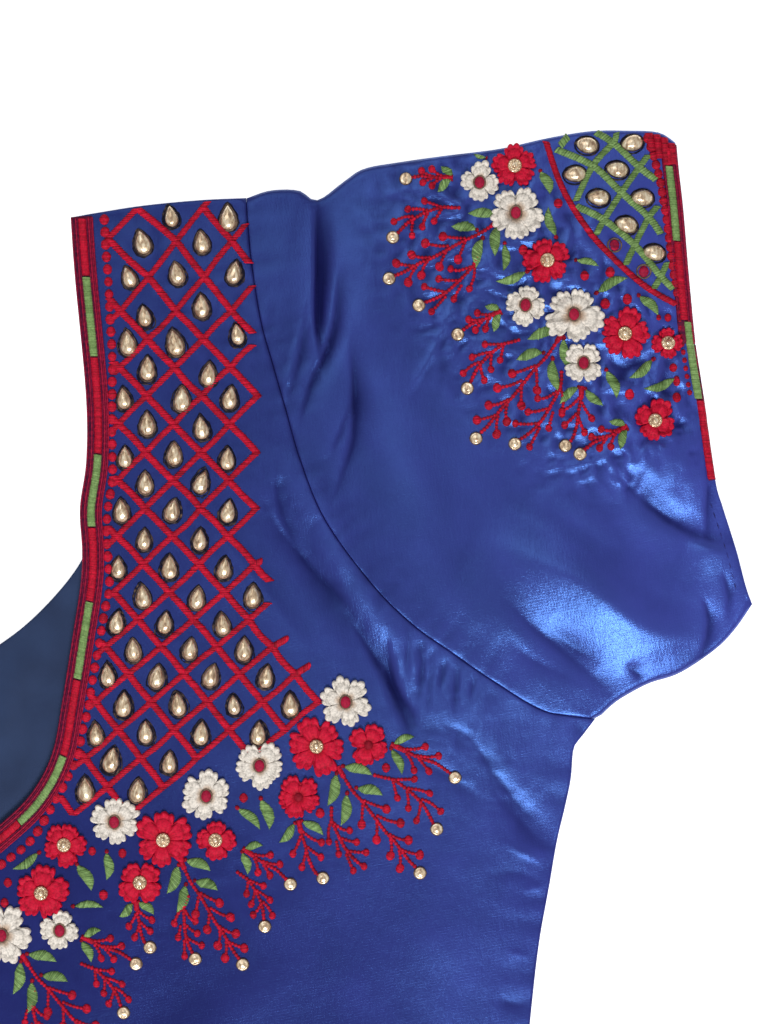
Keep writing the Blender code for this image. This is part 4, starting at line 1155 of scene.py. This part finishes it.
KINDS = ("red", "maroon", "green", "cream", "petal", "zari", "gold")
BODY_SET, SLEEVE_SET, CENTRE_SET = ({kind: Batch() for kind in KINDS} for _ in range(3))
drawn = set()
SHORT_VERTICES = {(5, 0): 0.62, (5, 2): 0.78, (5, 4): 0.80, (6, 13): 0.62}
for column, row in stones:
    corners = {"n": (column, row - 1), "e": (column + 1, row),
               "s": (column, row + 1), "w": (column - 1, row)}
    for a, b in ("ne", "ws", "nw", "es"):
        key = (corners[a], corners[b])
        if key in drawn or key[::-1] in drawn:
            continue
        drawn.add(key)
        first, second = nudged(*key[0]), nudged(*key[1])
        for end, share in SHORT_VERTICES.items():
            if key[0] == end:
                first = second + share * (first - second)
            if key[1] == end:
                second = first + share * (second - first)
        middle = (first + second) / 2 + RANDOM.normal(0, 0.25, 2)
        path = kept_run(smooth_path([first, middle, second], FINE_STEP), back_outline, 0.6)
        path = path[inside(path, lattice_area)]
        if len(path) >= 10:
            thick = a + b in ("ne", "ws")
            satin(BODY_SET["red"], path, *((1.3, 0.75, 0.8) if thick else (1.1, 0.58, -1.0)), pitch=0.95,
                  ridge=0.3, tone=0.74 if thick else 0.66, bead=0.2 if thick else 0.24, gap=0.38)

# Free ends: columns: crossing's column and row, direction (degrees), length.
for column, row, degrees, length in [(5, 12, 24, 3), (5, 12, -50, 4.6), (6, 15, 29, 6.2), (7, 16, 31, 6)]:
    start, angle = nudged(column, row), math.radians(degrees)
    end = start + length * np.array([math.cos(angle), math.sin(angle)])
    satin(BODY_SET["red"], [start, end], 1.1, 0.75, slant=0.5, tone=0.6, pitch=0.8, ridge=0.26,
          shape=lambda share: 0.35 + 0.65 * quarter((1 - share) * 4, 1))

# A stone's half size, how low it sits in its cell, and its turn: usual, near the top, and spread.
STONE_HALF_WIDTH, STONE_HALF_HEIGHT, STONE_LOW = 2.3, 3.75, 0.8
USUAL_TURN, TOP_TURN, TURN_SPREAD = -0.03, 0.22, 0.13
# Shifts of whole rows and columns: the first column, the two top rows and the rows below them.
FIRST_COLUMN_SHIFT, TOP_LEAN, TOP_HIGH, TOP_ROW_LOW, THIRD_ROWS_SHIFT = 2.0, 1.1, 0.4, 2.6, 0.5
HALO_SIDES = 30
# Dark threads that fill round a stone, also standing in as a painted shadow round it. Columns: half width,
# half height, cord's radius, rise.
HALOS = ((2.8, 4.25, 0.36, 0.12), (3.1, 4.5, 0.32, -0.1))
# Stones that sit off their cell's middle: column and row, then shift out and up.
STONE_STRAYS = {(1, 1): (-2, 0), (0, 2): (0, 1.2), (2, 2): (0, 1.7), (4, 2): (1.6, 0.2),
    (1, 3): (-1.2, -0.8), (3, 3): (0, 3.2), (4, 4): (1.5, 2), (3, 5): (1.5, -1.6), (2, 6): (2.2, 0),
    (2, 0): (0, -0.9)}
for column, row in stones:
    out, up = nudged(column, row) + RANDOM.normal(0, 0.4, 2) + STONE_STRAYS.get((column, row), (0, 0))
    up -= STONE_LOW
    if column == 0:
        out += FIRST_COLUMN_SHIFT
    if row < 2:
        out -= TOP_LEAN * (1 - row)
        up += TOP_HIGH - TOP_ROW_LOW * (row == 0)
    if row in (2, 3, 4):
        out += THIRD_ROWS_SHIFT
    lean = (TOP_TURN if column < 2 and row < 5 else USUAL_TURN) + RANDOM.normal(0, TURN_SPREAD)
    size = RANDOM.normal(1.0, 0.05)
    drop = turned(teardrop(STONE_HALF_WIDTH * size, STONE_HALF_HEIGHT * size), lean)
    dome(BODY_SET["gold"], out, up, drop, STONE_LEVELS, RANDOM.uniform(0.2, 0.8))
    ring(BODY_SET["zari"], out, up, drop * 1.08, 0.3, 0.4, 11, RANDOM.uniform(0.0, 0.7))
    # Dark rings round the stone: dark thread and painted shadow.
    for half_out, half_up, minor, rise in HALOS:
        halo = turned(teardrop(half_out * size, half_up * size, HALO_SIDES), lean)
        halo = halo * RANDOM.normal(1, 0.035, (HALO_SIDES, 1)) + RANDOM.normal(0, 0.2, 2)
        ring(BODY_SET["zari"], out, up - 0.2, halo, minor, rise, 9, 0.09)

# ---------------------------------------------------------------- the neckline's border

BORDER_BASE, NECK_BORDER_WIDTH, STRIPE_AWAY, CENTRE_GAP = 0.45, 7.1, 3.6, 9.0
half_neck = smooth_path(BACK_NECK, FINE_STEP)
neck_run = run_of(half_neck)


def band(batch, edge, section, tone=0.3):
    """A closed strip along an edge: the section's points are (distance in, lift)."""
    rows, columns = len(edge), len(section)
    points = np.stack([np.column_stack([offset_path(edge, away), np.full(rows, lift)])
                       for away, lift in section], axis=1).reshape(-1, 3)
    first = np.arange(columns)[None, :]
    faces = [grid_faces(rows, columns, wrap=True), first, first[:, ::-1] + (rows - 1) * columns]
    batch.add(points, faces, tones_of(own_tone(rows, tone, 0.1), np.linspace(0, 1, columns)))


def border_section(width, wrap):
    """A low crowned strip whose outer side folds over the cloth's edge."""
    base = BORDER_BASE
    return [(0.35, -wrap), (-0.1, -wrap), (-0.2, -0.4), (-0.05, 0.15), (0.4, base),
            (width / 2, base + 0.05), (width - 0.5, base - 0.1), (width, -0.2), (width - 0.6, -0.6),
            (0.6, -0.6)]


def neck_line(away, first, last):
    return offset_path(half_neck, away)[(neck_run >= first) & (neck_run <= last)]


neck_batch = Batch()
band(neck_batch, smooth_path(BACK_NECK, 0.9), border_section(NECK_BORDER_WIDTH, 1.2), tone=0.25)
# Columns: distance from the edge, half width, tone.
BORDER_THREADS = [(0.25, 0.36, 0.55), (0.9, 0.36, 0.25), (1.5, 0.38, 0.65), (2.1, 0.34, 0.35),
    (5.15, 0.34, 0.3), (5.75, 0.38, 0.75), (6.4, 0.36, 0.5), (6.95, 0.3, 0.8)]
for away, half_width, tone in BORDER_THREADS:
    satin(neck_batch, neck_line(away, 0.4, neck_run[-1]), half_width, 0.42, pitch=2.0, ridge=0.14, tone=tone,
          base_lift=BORDER_BASE - 0.1, bead=0.22, spread=0.09, gap=0.1)
DOT_PITCH = 4.1
# Where the band's stripe turns from red to green and back; a green one starts before the centre.
STRIPE_UPS = [-24.0, -50.5, -82.0, -106.5, -130.2, -156.0, -180.5, -201.0, -231.0]
cuts = [0.4] + [float(np.interp(-up, -half_neck[:, 1], neck_run)) for up in STRIPE_UPS]
cuts[-1] -= CENTRE_GAP
for k, (first, last) in enumerate(zip(cuts, cuts[1:] + [neck_run[-1] + 1])):
    satin(BODY_SET["green" if k % 2 else "red"], neck_line(STRIPE_AWAY, first + 0.1, last - 0.1),
          1.4, 0.75, slant=0.1, tone=0.6, base_lift=BORDER_BASE - 0.1, ridge=0.16, pitch=0.8, gap=0.15,
          spread=0.1, bead=0.06)
neck_border = neck_batch.build("neck_border", MAROON, "red_thread", shift=0)
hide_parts("back_neck_border")


def dotted(batch, line, pick_radius, rise, tone):
    """A row of dots, each with its threads across the line."""
    for (out, up), (dx, dy) in zip(line, tangents(line)):
        radius = pick_radius()
        dot(batch, out, up, radius, rise, turn=math.atan2(dx, -dy), tone=tone)


dotted(BODY_SET["red"], smooth_path(DOT_LINE, DOT_PITCH), lambda: RANDOM.uniform(1.42, 1.66), 0.95, 0.65)

# ---------------------------------------------------------------- the cuffs' border

cuff_line = smooth_path(CUFF, FINE_STEP)[::-1]


def stretch_of(path, high, low):
    return path[(path[:, 1] <= high) & (path[:, 1] >= low)]


def cuff_stretch(away, high, low):
    return stretch_of(offset_path(cuff_line, away), high, low)


cuff_batch = Batch()
for high, low, width in ((20.0, -46.0, 5.4), (-46.2, -91.0, 2.6)):
    band(cuff_batch, stretch_of(smooth_path(CUFF, 0.9)[::-1], high, low), border_section(width, 1.0))
for away, half_width, low, tone in ((0.45, 0.5, -46, 0.65), (1.35, 0.45, -42, 0.5), (4.6, 0.45, -38, 0.5)):
    satin(cuff_batch, cuff_stretch(away, 19.5, low), half_width, 0.5, pitch=1.0, ridge=0.25,
          tone=tone, base_lift=BORDER_BASE - 0.15, bead=0.2, spread=0.1, gap=0.1)
cuff_borders = {}
for label, way in BOTH:
    cuff_borders[label] = cuff_batch.build("cuff_border_" + label + "_stitched", MAROON, "red_thread",
                                           (way,), 0)
    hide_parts("cuff_border_" + label)
# Columns: distance from the edge, highest and lowest up, half width, thread.
CUFF_STRIPES = [(3, 19, 13.2, 1.3, "red"), (3, 12.8, -11.8, 1.3, "green"), (2.7, -12.2, -38, 1.3, "red"),
    (1.7, -38.6, -64, 1.3, "green"), (1.2, -64.4, -90.6, 1.25, "red")]
for away, high, low, half_width, kind in CUFF_STRIPES:
    satin(SLEEVE_SET[kind], cuff_stretch(away, high, low), half_width,
          0.85, slant=0.15, tone=0.6, base_lift=BORDER_BASE - 0.15, pitch=0.8, gap=0.2, spread=0.1)
BEAD_LINE = [(269.8, 22), (271.3, 17.8), (273.9, 8.3), (274.8, 3.3), (276.2, -5), (277, -11.6),
    (278.3, -21.5), (279.6, -29)]
# Columns: line, radius, pitch.
for line, radius, pitch in ((smooth_path(BEAD_LINE, STITCH_STEP), 1.5, 3.0),
                            (cuff_stretch(4.3, -35.0, -62.0), 0.85, 2.6)):
    dotted(SLEEVE_SET["red"], resampled(line, pitch), lambda: radius, 0.6 * radius, 0.5)

# ---------------------------------------------------------------- the sleeve's corner patch

# The patch's bars: whether thick, then points.
PATCH_BARS = [(1, [(240.9, 19.5), (244.8, 24.2)]), (1, [(239.6, 18.4), (251.7, 12.9), (260.9, 4.2),
    (270.1, -4), (274.2, -9.6)]), (1, [(250.6, 25.2), (258.4, 20.6), (267.1, 12.4), (272.7, 8.3)]), (1,
    [(246, -0.5), (255.3, -5.1), (265.5, -13.3), (274.2, -23.6), (278.4, -27.7)]), (0, [(259.6, 24),
    (258.4, 20.6), (251.7, 12.9), (246, 1.1)]), (0, [(270.1, 16.5), (267, 12.4), (261.2, 4.2),
    (255.3, -5.1), (252.5, -10.2)]), (0, [(273.2, -0.3), (270.1, -4.3), (265.5, -13.2), (262.4, -20)]), (0,
    [(276.3, -18.9), (274.2, -23.6), (271.7, -27.7)])]
CORNER_STRIPES = [((277.7, 20.4), (278.3, 13.4)), ((275.3, 22.3), (276.1, 13)), ((272.8, 23.3),
    (273.9, 15.2)), ((270.2, 23.8), (271.5, 17.6))]
for stripe in CORNER_STRIPES:
    satin(SLEEVE_SET["red"], stripe, 1.3, 0.9, slant=0.15, tone=0.5, ridge=0.2, base_lift=0.3)
for thick, points in PATCH_BARS:
    satin(SLEEVE_SET["green"], kept_run(smooth_path(points, STITCH_STEP), sleeve_outline, 0.6),
          1.3 if thick else 1.15, 0.6, slant=0.3 if thick else -0.6, pitch=0.85, ridge=0.26,
          tone=0.62 if thick else 0.55, gap=0.45, bead=0.12)
PATCH_CORD = [(236.3, 21), (240.6, 7.9), (245.9, -2.3), (252.8, -11.9), (261.4, -20.5), (270, -27.6),
    (279.4, -32.9)]
satin(SLEEVE_SET["red"], kept_run(smooth_path(PATCH_CORD, STITCH_STEP), sleeve_outline, 0.5),
      1.05, 1.0, slant=0.6, pitch=0.9, tone=0.55, ridge=0.1)
# Columns: out, up, turn (degrees).
PATCH_STONES = [(249.8, 19.8, 80), (264.7, 20.4, 104), (259.7, 11.6, 80), (245.8, 10.1, 95),
    (253.4, 2.3, 85), (268, 2.3, 92), (262.7, -6.6, 76), (271.9, -15.8, 82)]
for out, up, degrees in PATCH_STONES:
    lean = math.radians(degrees)
    drop = turned(egg(2.5, 3.5), lean)
    dome(SLEEVE_SET["gold"], out, up, drop, STONE_LEVELS, 0.5)
    # A thread ring tight round the stone, and a darker ring further out that is dark thread and painted
    # shadow round it.
    ring(SLEEVE_SET["zari"], out, up, drop * 1.05, 0.2, 0.3, 10, 0.3)
    ring(SLEEVE_SET["zari"], out, up - 0.25, turned(oval(3.2, 4.05, 30), lean), 0.3, 0.0, 10, 0.0)
# Two cells whose stone is missing: the thread ring is empty.
for out, up in ((258.8, -13.4), (268.5, -22.0)):
    dot(SLEEVE_SET["maroon"], out, up, 1.7, 0.8, tone=0.8)
    ring(SLEEVE_SET["zari"], out, up, oval(2.3, 2.3), 0.3, 0.15, 8, 0.6)

# ---------------------------------------------------------------- flowers

# Columns: out, up, radius, petals, turn (degrees), kind: c cream, r red with a stud, p plain red.
FLOWERS = [(170.2, -163.8, 8.3, 6, 15, "c"), (141.9, -184.7, 8.2, 5, 20, "c"),
    (124.4, -194.7, 8.2, 6, 0, "c"), (94.1, -203.3, 8.2, 6, 10, "c"), (76.2, -238.9, 6.6, 4, 35, "c"),
    (57.1, -240.6, 9.8, 6, 25, "c"), (160.6, -178.4, 9.6, 6, 20, "r"), (177.7, -177.9, 6.9, 4, 20, "p"),
    (154.7, -195.1, 7.3, 5, 10, "p"), (110.2, -209.2, 9.6, 6, 0, "r"), (127.4, -209.2, 6.6, 4, 45, "r"),
    (77.5, -210.9, 7.3, 5, 30, "r"), (70, -226.7, 8.9, 5, 50, "r"), (102.6, -223.1, 7.3, 4, 0, "r"),
    (40, -233.5, 7.4, 5, 0, "r"), (36.5, -251, 8.6, 6, 10, "r"), (19.5, -245.5, 7.6, 5, 40, "c"),
    (214.3, 7.3, 6.7, 4, 40, "c"), (226.2, -2.8, 8.9, 5, 90, "c"), (225.9, 12.8, 7.4, 5, 60, "r"),
    (229.3, -33.3, 6.6, 4, 35, "c"), (245.3, -36.3, 9.6, 5, 30, "c"), (248.5, -52.3, 6.8, 4, 0, "c"),
    (262.1, -42.6, 8.4, 5, 45, "r"), (276.4, -45.6, 5.3, 4, 50, "r"), (272.1, -71.2, 7.3, 4, 20, "r"),
    (236.5, -18.6, 7.6, 5, 70, "r")]
CENTRE_FLOWER = (0, -250.5, 9.4, 6, 30, "c")
STUD_BEADS = 11


def threads_at(out, up):
    """The batches of the panel that carries this place: sleeve or back."""
    return SLEEVE_SET if inside(np.array([[out, up]]), sleeve_outline)[0] else BODY_SET


def gold_stud(batch, out, up, radius):
    """A round setting of small beads about a stone."""
    dome(batch, out, up, oval(radius, radius, 24), STUD_PLATE, 0.6, FLOWER_LIFT)
    dome(batch, out, up, oval(0.5 * radius, 0.5 * radius), STUD_LEVELS, 0.6, 1.0 + FLOWER_LIFT)
    for k in range(STUD_BEADS):
        angle = 2 * math.pi * k / STUD_BEADS
        dome(batch, out + 0.76 * radius * math.cos(angle), up + 0.76 * radius * math.sin(angle),
             oval(0.46, 0.46, 8), BEAD_LEVELS, 0.7, 1.5 + FLOWER_LIFT)


def small_stud(batches, out, up, radius=1.95):
    dome(batches["gold"], out, up, oval(radius, radius, 16), STUD_DISC, 0.55)
    ring(batches["zari"], out, up, oval(radius + 0.12, radius + 0.12), 0.16, 0.05, 9, 0.5)


def place_flower(batches, out, up, radius, petals, degrees, kind):
    flower(batches["cream" if kind == "c" else "petal"], out, up, radius, petals,
           math.radians(degrees), 0.0 if kind == "c" else RED_RUFFLE)
    if kind == "c":
        dome(batches["maroon"], out, up, oval(1.65, 2.0), MIDDLE_LEVELS, 0.75, 0.6 + FLOWER_LIFT)
        ring(batches["zari"], out, up, oval(1.9, 2.25), 0.28, 1.1 + FLOWER_LIFT, 8, 0.85)
    elif kind == "r":
        gold_stud(batches["gold"], out, up, 2.3)
    else:
        dome(batches["red"], out, up, oval(1.5, 1.5), KNOT_LEVELS, 0.2, 0.6 + FLOWER_LIFT)


for row in FLOWERS:
    place_flower(threads_at(*row[:2]), *row)
place_flower(CENTRE_SET, *CENTRE_FLOWER)

# ---------------------------------------------------------------- sprigs and leaves

# Each motif's own coordinates run from its base at (0, 0) to its end at (1, 0).
# Leaves: base, tip, half width in mm. Stems: points. Twigs: points, each ending in a dot.
SPRIGS = {
    "A": (
        [((0.03, 0.02), (0.24, 0.24), 1.5), ((0.04, -0.06), (0.33, -0.3), 1.7)],
        [(0, 0), (0.22, 0.01), (0.38, 0.01), (0.54, 0.03), (0.69, 0.05), (0.92, 0.02)],
        [[(0.21, 0.03), (0.34, 0.1), (0.44, 0.19)], [(0.38, 0.02), (0.54, 0.08), (0.66, 0.16)],
         [(0.24, -0.01), (0.35, -0.07), (0.45, -0.17)], [(0.43, 0), (0.53, -0.04), (0.64, -0.09)]],
        1.2),
    "B": (
        [((0.01, 0.03), (0.19, 0.16), 2), ((0.02, -0.05), (0.17, -0.25), 2.1), ((0.2, 0.01), (0.36, 0.13),
         2), ((0.19, -0.08), (0.35, -0.26), 2.1)],
        [(-0.02, -0.01), (0.07, -0.02), (0.2, -0.03), (0.31, -0.02), (0.45, -0.02), (0.59, -0.02),
         (0.69, -0.01), (0.78, -0.01), (0.88, -0.01), (0.95, 0)],
        [[(0.3, -0.01), (0.37, 0.03), (0.46, 0.09)], [(0.3, -0.01), (0.38, -0.08), (0.44, -0.13)],
         [(0.45, 0), (0.54, 0.05), (0.61, 0.11)], [(0.47, -0.01), (0.54, -0.06), (0.6, -0.11)],
         [(0.62, -0.01), (0.7, 0.03), (0.75, 0.08)], [(0.63, -0.01), (0.71, -0.05), (0.76, -0.1)],
         [(0.77, -0.01), (0.83, 0.03), (0.89, 0.08)], [(0.76, -0.02), (0.82, -0.05), (0.88, -0.1)]],
        1.45),
    "R": (
        [],
        [(0, 0), (0.12, 0.06), (0.22, 0.11), (0.39, 0.13), (0.56, 0.13), (0.7, 0.11), (0.84, 0.06),
         (0.93, 0.02)],
        [[(0.22, 0.11), (0.33, 0.21), (0.41, 0.28)], [(0.23, 0.1), (0.31, 0.04), (0.4, -0.02)],
         [(0.41, 0.14), (0.54, 0.22), (0.66, 0.27)], [(0.43, 0.12), (0.52, 0.04), (0.58, -0.03)],
         [(0.62, 0.15), (0.75, 0.19), (0.9, 0.19)], [(0.64, 0.13), (0.71, 0.02), (0.75, -0.08)]],
        1.15),
    "L": (
        [],
        [(0, 0), (0.17, -0.09), (0.38, -0.11), (0.65, -0.11), (0.84, -0.06), (0.96, 0)],
        [[(0.17, -0.09), (0.28, -0.2), (0.42, -0.27)], [(0.22, -0.09), (0.36, -0.02), (0.42, 0.06)],
         [(0.42, -0.13), (0.54, -0.02), (0.61, 0.07)], [(0.45, -0.17), (0.55, -0.2), (0.64, -0.23)],
         [(0.64, -0.12), (0.73, 0), (0.8, 0.12)], [(0.68, -0.14), (0.82, -0.15), (0.94, -0.16)]],
        1.15),
    "C": (
        [((0.03, -0.08), (0.21, -0.42), 1.7), ((0.04, 0.05), (0.37, 0.27), 1.7)],
        [(0, 0), (0.19, -0.04), (0.43, -0.06), (0.63, -0.09), (0.85, -0.08), (0.95, -0.03)],
        [[(0.18, -0.02), (0.35, 0.08), (0.47, 0.2)], [(0.24, -0.06), (0.36, -0.17), (0.46, -0.29)],
         [(0.44, -0.04), (0.57, 0.03), (0.68, 0.1)], [(0.5, -0.08), (0.6, -0.15), (0.71, -0.24)]],
        1.2),
}
# Columns: motif, base out, base up, end out, end up, side (-1 mirrors the motif), stud at its end.
SPRIG_PLACES = [("A", 185.1, -177.7, 206.2, -188.8, 1, 1), ("A", 136.3, -212, 152, -223.8, 1, 1),
    ("A", 83.2, -241.1, 101.2, -250, 1, 1), ("B", 168.4, -185.5, 194.7, -220.1, 1, 1),
    ("R", 179.2, -187.8, 200.2, -205.7, 1, 1), ("L", 165.6, -198.1, 176.7, -218.8, 1, 0),
    ("B", 116.5, -216.1, 136.3, -250.2, 1, 1), ("R", 134.2, -219.6, 143.6, -237.7, 1, 1),
    ("L", 118.6, -227.3, 120.7, -248.4, 1, 1), ("B", 64.4, -247.4, 92.1, -280.9, 1, 1),
    ("R", 82.8, -249.8, 97.1, -266.1, 1, 1), ("L", 67.9, -258.5, 74.1, -280.3, 1, 1),
    ("C", 154.7, -202.7, 162.7, -221.8, 1, 1), ("C", 101.2, -229.3, 105.8, -244.6, 1, 1),
    ("C", 44, -260, 52, -279, 1, 1), ("L", 26, -256, 31, -281, 1, 1), ("A", 205.5, 9.1, 190, 8.6, -1, 1),
    ("R", 208.1, -1.1, 185.7, -10.9, -1, 1), ("B", 220.5, -4.8, 184.5, -24.5, -1, 1),
    ("L", 214.3, -14.6, 194.3, -33.3, -1, 1), ("A", 221.3, -35.1, 207.1, -42.9, -1, 1),
    ("B", 240.9, -42.3, 213.1, -77.1, -1, 1), ("R", 227.7, -44.5, 210.2, -60.6, -1, 1),
    ("L", 241.3, -54.7, 225.9, -78.9, -1, 1), ("C", 247.9, -59.9, 242.5, -79.5, -1, 1),
    ("A", 262.8, -73, 247.3, -82.2, -1, 1)]
CENTRE_SPRIG = ("B", 0, -258, 0, -300, 1, 1)
# Columns: base out, base up, tip out, tip up, half width.
LEAVES = [(222.5, -13.2, 222, -22, 1.6), (216.5, 15.6, 212.4, 17, 0.8), (234.5, 11, 237.5, 3.6, 2.1),
    (239.4, -10.5, 237, -0.8, 1.8), (229.6, -22.3, 219.7, -25.4, 1.7), (256.1, -54.8, 259.4, -63.8, 2),
    (253.1, -29, 263, -24.2, 1.9), (267, -30.1, 273.3, -36.5, 1.9), (271.4, -51.1, 263.7, -57.1, 1.8),
    (278.9, -57.3, 268.4, -60.7, 1.7), (246.2, -18.4, 253.5, -20.4, 1.3),
    (142.4, -195.9, 145.1, -205.7, 2.2), (134.8, -198.9, 142, -205.7, 1.8),
    (81.8, -217.5, 86.5, -225.9, 2.2), (91.5, -213.4, 91.5, -222.4, 1.9), (68.9, -213.7, 60.6, -218.9, 1.7),
    (80.8, -231.1, 90.5, -231.4, 1.4), (46, -226.5, 36, -224.8, 1.7), (28, -238, 20.5, -233.8, 1.7),
    (50, -252, 47, -242.5, 1.6)]
# Columns: out, up, radius.
DOTS = [(248.9, -23.5, 1.5), (257.3, -22.3, 1.6), (255.7, -32.7, 1.6), (263, -31.2, 1.6),
    (278.2, -53.7, 1.3), (279.4, -63.5, 1.5), (263.7, -62.6, 1.6), (228.7, -15.1, 1.6), (240.2, 0.4, 1.5),
    (86.7, -213, 1.3), (96.7, -213.7, 1.4), (90.5, -227.3, 1.5), (58.9, -223.4, 1.4), (57.8, -230, 1.4),
    (183.5, -185.5, 1.4), (161.8, -200.4, 1.5), (136.6, -195.4, 1.4), (273.4, -37.2, 0.9),
    (276.5, -37.2, 1.2), (279.4, -58.4, 1.2), (30, -228, 1.4), (10, -236, 1.4)]


def leaf(batches, base, tip, half_width, bend=0.09):
    base, tip = np.array(base), np.array(tip)
    step = tip - base
    middle = (base + tip) / 2 + bend * np.array([-step[1], step[0]])
    satin(batches["green"], smooth_path([base, middle, tip], STITCH_STEP), 0.96 * half_width, 0.9, slant=0.45,
          pitch=0.62, ridge=0.18, shape=almond, tone=0.62, spread=0.22, bead=0.10, gap=0.4)
    satin(batches["red"], [base - 0.12 * step, base + 0.05 * step], 0.75, 0.7, pitch=0.6,
          shape=ellipse_ends, tone=0.3)


def chain(batch, path, half_width=0.64, rise=0.38):
    satin(batch, path, half_width, rise, pitch=1.2, ridge=0.42, bead=0.42, tone=0.62, spread=0.14,
          gap=0.4)


def sprig(batches, kind, out_a, up_a, out_b, up_b, side, stud):
    threads = batches["red"]
    base = np.array([out_a, up_a])
    step = np.array([out_b, up_b]) - base
    left = side * np.array([-step[1], step[0]])
    leaves, stem_points, twigs, dot_radius = SPRIGS[kind]

    def at(points):
        return np.array([base + x * step + y * left for x, y in points])

    for first, tip, half_width in leaves:
        leaf(batches, *at([first, tip]), half_width, bend=0.08 * side)
    stem = at(stem_points)
    chain(threads, smooth_path(stem, STITCH_STEP), 0.72, 0.5)
    if leaves:
        satin(threads, smooth_path(stem[:2], STITCH_STEP), 0.9, 0.6, tone=0.6)
    for twig in twigs:
        points = at(twig)
        chain(threads, smooth_path(points, STITCH_STEP))
        dot(threads, *points[-1], dot_radius, 0.9, turn=RANDOM.uniform(-0.6, 0.6), tone=0.6)
    if stud:
        small_stud(batches, out_b, up_b)
    else:
        dot(threads, *stem[-1], dot_radius, 0.9, tone=0.6)


for row in SPRIG_PLACES:
    sprig(threads_at(*row[1:3]), *row)
sprig(CENTRE_SET, *CENTRE_SPRIG)
for row in LEAVES:
    leaf(threads_at(*row[:2]), row[:2], row[2:4], row[4])
for out, up, radius in DOTS:
    dot(threads_at(out, up)["red"], out, up, radius, 0.95, tone=0.6)

# Columns: piece name, material, slot, in the order of KINDS.
PIECES = [
    ("red_stitches", RED, "red_thread"), ("maroon_studs", MAROON, "red_thread"),
    ("green_stitches", GREEN, "green_thread"), ("cream_petals", CREAM, "cream_thread"),
    ("red_petals", PETAL_RED, "red_thread"), ("zari_rings", ZARI, "dark_thread"),
    ("gold_stones", GOLD, "gold_stone"),
]
on_back, on_sleeve = [neck_border], {label: [cuff_borders[label]] for label, _ in BOTH}
for key, (name, material, slot) in zip(KINDS, PIECES):
    on_back.append(BODY_SET[key].build("back_" + name, material, slot))
    if CENTRE_SET[key].count:
        on_back.append(CENTRE_SET[key].build("centre_" + name, material, slot, (1,)))
    for label, way in BOTH:
        on_sleeve[label].append(
            SLEEVE_SET[key].build("sleeve_" + label + "_" + name, material, slot, (way,)))

# ---------------------------------------------------------------- topstitching

HEM_DEPTH, DASH, DASH_PITCH = 9.0, 2.5, 3.5


def topstitch(path):
    """A row of short machine stitches along a path of close points."""
    batch = Batch()
    for start in np.arange(1.0, len(path) * FINE_STEP - DASH, DASH_PITCH):
        first = int(start / FINE_STEP)
        satin(batch, path[first:first + int(DASH / FINE_STEP)], 0.2, 0.16, pitch=1.2, ridge=0.02,
              shape=ellipse_ends, tone=0.5)
    return batch


hem_stitches = topstitch(smooth_path(HEM, FINE_STEP)[20:] + [0, HEM_DEPTH])
on_back.append(hem_stitches.build("hem_stitches", BLUE_THREAD, "blue_satin", shift=0))
cuff_stitches = topstitch(offset_path(cuff_line, 3.4)[(cuff_line[:, 1] < -95.0) & (cuff_line[:, 1] > -127.0)])
for label, way in BOTH:
    on_sleeve[label].append(
        cuff_stitches.build("cuff_stitches_" + label, BLUE_THREAD, "blue_satin", (way,), 0))

# ---------------------------------------------------------------- camera, light and floor

FLOOR_REACH, ROOM_LIGHT = 3, 0.34
floor_mesh = bpy.data.meshes.new("floor")
floor_mesh.from_pydata([(x * FLOOR_REACH, y * FLOOR_REACH, 0)
                        for x, y in ((-1, -1), (1, -1), (1, 1), (-1, 1))], [], [(0, 1, 2, 3)])
floor_mesh.materials.append(new_material(
    "floor_paper", 0.9, Specular_IOR_Level=0.1, Base_Color=(0.92, 0.92, 0.92, 1),
    Emission_Color=(1, 1, 1, 1), Emission_Strength=0.7)[0])
floor = bpy.data.objects.new("floor", floor_mesh)
bpy.context.collection.objects.link(floor)

world = bpy.data.worlds.new("studio")
bpy.context.scene.world = world
world.use_nodes = True
world.node_tree.nodes["Background"].inputs["Color"].default_value = (1, 1, 1, 1)
world.node_tree.nodes["Background"].inputs["Strength"].default_value = ROOM_LIGHT


def area_light(name, place_at, target, size, power):
    lamp = bpy.data.lights.new(name, "AREA")
    lamp.shape = "RECTANGLE"
    lamp.size, lamp.size_y = size
    lamp.energy = power
    made = bpy.data.objects.new(name, lamp)
    made.location = place_at
    made.rotation_euler = (Vector(target) - Vector(place_at)).to_track_quat("-Z", "Y").to_euler()
    bpy.context.collection.objects.link(made)


area_light("key", (0.25, -1.2, 1.62), (0.1, 0, 0), (1.1, 0.45), 40)
area_light("fill", (-0.5, 1.1, 1.7), (0, 0, 0), (1.6, 1.6), 12)

# The picture shows 0.33792 m of the floor from a metre above it.
SENSOR, VIEW_HEIGHT = 24, 0.33792
camera_data = bpy.data.cameras.new("camera")
camera_data.sensor_fit = "VERTICAL"
camera_data.sensor_height = SENSOR
camera_data.lens = SENSOR / VIEW_HEIGHT
camera = bpy.data.objects.new("camera", camera_data)
camera.location = (0.18282, 0.07179, 1.0035)
bpy.context.collection.objects.link(camera)
bpy.context.scene.camera = camera
bpy.context.scene.view_settings.view_transform = "Standard"
